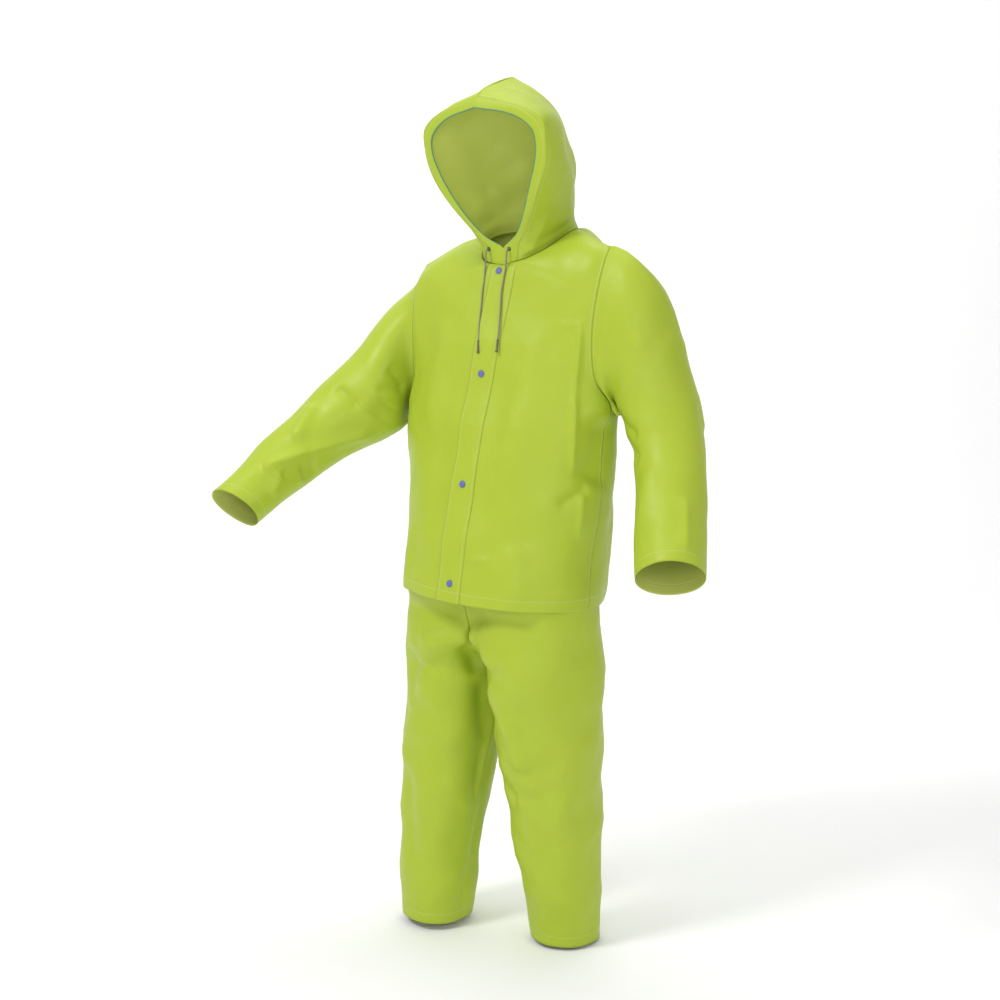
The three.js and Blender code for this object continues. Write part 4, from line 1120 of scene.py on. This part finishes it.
class RAINSUIT_OT_jacket(bpy.types.Operator):
    """The jacket's two fronts and its back"""

    bl_idname = "rainsuit.jacket"
    bl_label = "Jacket body"

    def execute(self, context):
        suit = context.scene.rain_suit
        looks = finishes(suit)
        for side, word in SIDES:
            flat = front_grid(side)
            flat = face_outwards(flat, inside_torso(flat[:-1, :-1]))
            grid = creased(flat, f"body_front_{word}", inside_torso(flat), ("top",), suit, armholes())
            piece = mesh_object(f"jacket_front_{word}", [grid], looks["outer"], looks["inner"], suit.wall,
                                sewn=("start", "end", "top"), hem=("foot",))
            finish_piece(piece, f"front_{word}")
        halves = back_grids()
        grids = []
        for flat in halves:
            flat = face_outwards(flat, inside_torso(flat[:-1, :-1]))
            grids.append(creased(flat, "body_back", inside_torso(flat), ("top",), suit, armholes()))
        # The back's inside takes the pale inside film, which is painted light
        piece = mesh_object("jacket_back", grids, looks["outer"], looks["pale"], suit.wall, hem=("foot",))
        finish_piece(piece, "back")
        return {"FINISHED"}


class RAINSUIT_OT_sleeves(bpy.types.Operator):
    """The two sleeves, from the armhole to the open cuff"""

    bl_idname = "rainsuit.sleeves"
    bl_label = "Sleeves"

    def execute(self, context):
        suit = context.scene.rain_suit
        looks = finishes(suit)
        for side, word in SIDES:
            flat = sleeve_grid(side)
            axis = inside_sleeve(side)
            flat = face_outwards(flat, axis(flat[:-1, :-1]))
            grid = creased(flat, f"sleeve_{word}", axis(flat), (), suit, armholes())
            piece = mesh_object(f"jacket_sleeve_{word}", [grid], looks["outer"], looks["inner"], suit.wall,
                                sewn=("foot",), hem=("top",))
            finish_piece(piece, f"sleeve_{word}")
        return {"FINISHED"}


class RAINSUIT_OT_hood(bpy.types.Operator):
    """The hood's two halves and the casing round its opening"""

    bl_idname = "rainsuit.hood"
    bl_label = "Hood"

    def execute(self, context):
        suit = context.scene.rain_suit
        looks = finishes(suit)
        centre = np.array([0.0, 60.0, 200.0])
        for side, word in SIDES:
            flat = hood_grid(side)
            flat = face_outwards(flat, centre)
            grid = creased(flat, f"hood_{word}", centre, ("foot", "start", "end"), suit)
            # The hood's inside takes the pale inside film, which is painted light
            piece = mesh_object(f"jacket_hood_{word}", [grid], looks["outer"], looks["pale"], suit.wall,
                                sewn=("foot", "start", "end"))
            finish_piece(piece, f"hood_{word}")
        flat = casing_grid()
        normals = grid_normals(flat, centre)
        crown = np.sin(np.pi * np.linspace(0, 1, flat.shape[1]))[None, :, None]
        grid = flat + normals * crown * CASING_CROWN
        outside = face_outwards(grid, centre)
        rim_side = ("end",) if outside is grid else ("start",)
        piece = mesh_object("hood_hem", [outside], looks["casing"], looks["lining"], suit.wall + CASING_EXTRA,
                            hem=rim_side)
        self.keep_trim_above(piece, TRIM_FROM)
        finish_piece(piece, "hood_casing")
        return {"FINISHED"}

    def keep_trim_above(self, piece, height):
        """Takes the coloured edge off the casing's parting, under the opening."""
        place = np.empty(len(piece.data.vertices) * 3)
        piece.data.vertices.foreach_get("co", place)
        layer = piece.data.attributes["hem_mm"]
        distance = np.empty(len(piece.data.vertices), np.float32)
        layer.data.foreach_get("value", distance)
        distance[place[2::3] < height] = FAR
        layer.data.foreach_set("value", distance)


class RAINSUIT_OT_trousers(bpy.types.Operator):
    """The trousers' two legs and the casing at their waist"""

    bl_idname = "rainsuit.trousers"
    bl_label = "Trousers"

    def execute(self, context):
        suit = context.scene.rain_suit
        looks = finishes(suit)
        for side, word in SIDES:
            flat = leg_grid(side)
            axis = inside_axis(side * 110.0, 4.0)
            flat = face_outwards(flat, axis(flat[:-1, :-1]))
            grid = creased(flat, f"leg_{word}", axis(flat), ("start", "end", "top"), suit)
            piece = mesh_object(f"trouser_leg_{word}", [grid], looks["outer"], looks["inner"], suit.wall,
                                hem=("foot",))
            finish_piece(piece, f"leg_{word}")
        rows = [leg_grid(side)[-1] for side in (LEFT, RIGHT)]
        ring = np.concatenate([rows[0], rows[1][::-1][1:]])
        s = np.linspace(0, 2 * np.pi, len(ring))
        rise = np.linspace(0, WAIST_HEIGHT, 9)[:, None]
        flat = np.repeat(ring[None], 9, 0) + np.array([0, 0, 1.0]) * rise[..., None]
        flat = face_outwards(flat, inside_torso(flat[:-1, :-1]))
        normals = grid_normals(flat, inside_torso(flat))
        gathers = GATHER_HEIGHT * np.sin(GATHERS * s)[None, :] * np.sin(np.pi * rise / WAIST_HEIGHT)
        grid = flat + normals * gathers[..., None]
        piece = mesh_object("trouser_waist", [grid], looks["outer"], looks["inner"], suit.wall,
                            sewn=("foot",))
        finish_piece(piece, "waistband")
        return {"FINISHED"}


def placket_grid(suit):
    """The flap: the creased fronts between its free and its welded edge, moved out along their normals."""
    level = FRONT_LEVELS[FRONT_LEVELS <= NECK_FRONT + 1e-9]
    x = np.linspace(PLACKET_FREE_X, PLACKET_SEAM_X, 25)
    u = np.stack([u_at_x(level, np.full_like(level, abs(v))) for v in x], 1)
    base = mirrored_body("front", level[:, None], u, np.broadcast_to(np.sign(x)[None, :], u.shape))
    inside = inside_torso(base)
    normals = grid_normals(base, inside)
    raised = creased(base, "body_front_left", inside, ("top",), suit, armholes())
    stand = PLACKET_STAND + PLACKET_LIFT * smooth((PLACKET_SEAM_X - x) / PLACKET_LIFT_BY)
    return raised + normals * stand[None, :, None]


class RAINSUIT_OT_placket(bpy.types.Operator):
    """The snap-fastened flap down the front, with its caps"""

    bl_idname = "rainsuit.placket"
    bl_label = "Placket and snaps"

    def execute(self, context):
        suit = context.scene.rain_suit
        looks = finishes(suit)
        flat = placket_grid(suit)
        flat = face_outwards(flat, inside_torso(flat[:-1, :-1]))
        piece = mesh_object("front_flap", [flat], looks["outer"], looks["inner"], PLACKET_WALL,
                            sewn=("start", "end"), hem=("foot",))
        finish_piece(piece, "placket")
        normals = grid_normals(flat, inside_torso(flat))
        for i, z in enumerate(SNAP_HEIGHTS):
            reach = np.abs(flat[..., 0] - SNAP_X) + np.abs(flat[..., 2] - z)
            row, column = np.unravel_index(np.argmin(reach), reach.shape)
            foot, axis = flat[row, column], normals[row, column]
            cap = turned(f"snap_cap_{i + 1}", SNAP_PROFILE, foot, axis, looks["snap"], suit.snap_sides)
            finish_piece(cap, f"snap_{i + 1}")
        return {"FINISHED"}


class RAINSUIT_PT_panel(bpy.types.Panel):
    """Lists the suit's pieces and the sizes that can be changed"""

    bl_idname = "RAINSUIT_PT_panel"
    bl_label = "Rain Suit"
    bl_space_type = "VIEW_3D"
    bl_region_type = "UI"
    bl_category = "Rain Suit"

    def draw(self, context):
        for name in RainSuitSettings.__annotations__:
            self.layout.prop(context.scene.rain_suit, name)
        for operator in OPERATORS:
            self.layout.operator(operator.bl_idname)


OPERATORS = (
    RAINSUIT_OT_stage, RAINSUIT_OT_drawstrings, RAINSUIT_OT_jacket, RAINSUIT_OT_placket,
    RAINSUIT_OT_sleeves, RAINSUIT_OT_hood, RAINSUIT_OT_trousers,
)
CLASSES = (RainSuitSettings, *OPERATORS, RAINSUIT_PT_panel)


def register():
    for cls in CLASSES:
        bpy.utils.register_class(cls)
    bpy.types.Scene.rain_suit = PointerProperty(type=RainSuitSettings)


def unregister():
    del bpy.types.Scene.rain_suit
    for cls in reversed(CLASSES):
        bpy.utils.unregister_class(cls)


def main():
    """Registers the add-on's classes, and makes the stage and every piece."""
    register()
    bpy.ops.rainsuit.stage()
    bpy.ops.rainsuit.drawstrings()
    bpy.ops.rainsuit.jacket()
    bpy.ops.rainsuit.placket()
    bpy.ops.rainsuit.sleeves()
    bpy.ops.rainsuit.hood()
    bpy.ops.rainsuit.trousers()


if __name__ == "__main__":
    main()
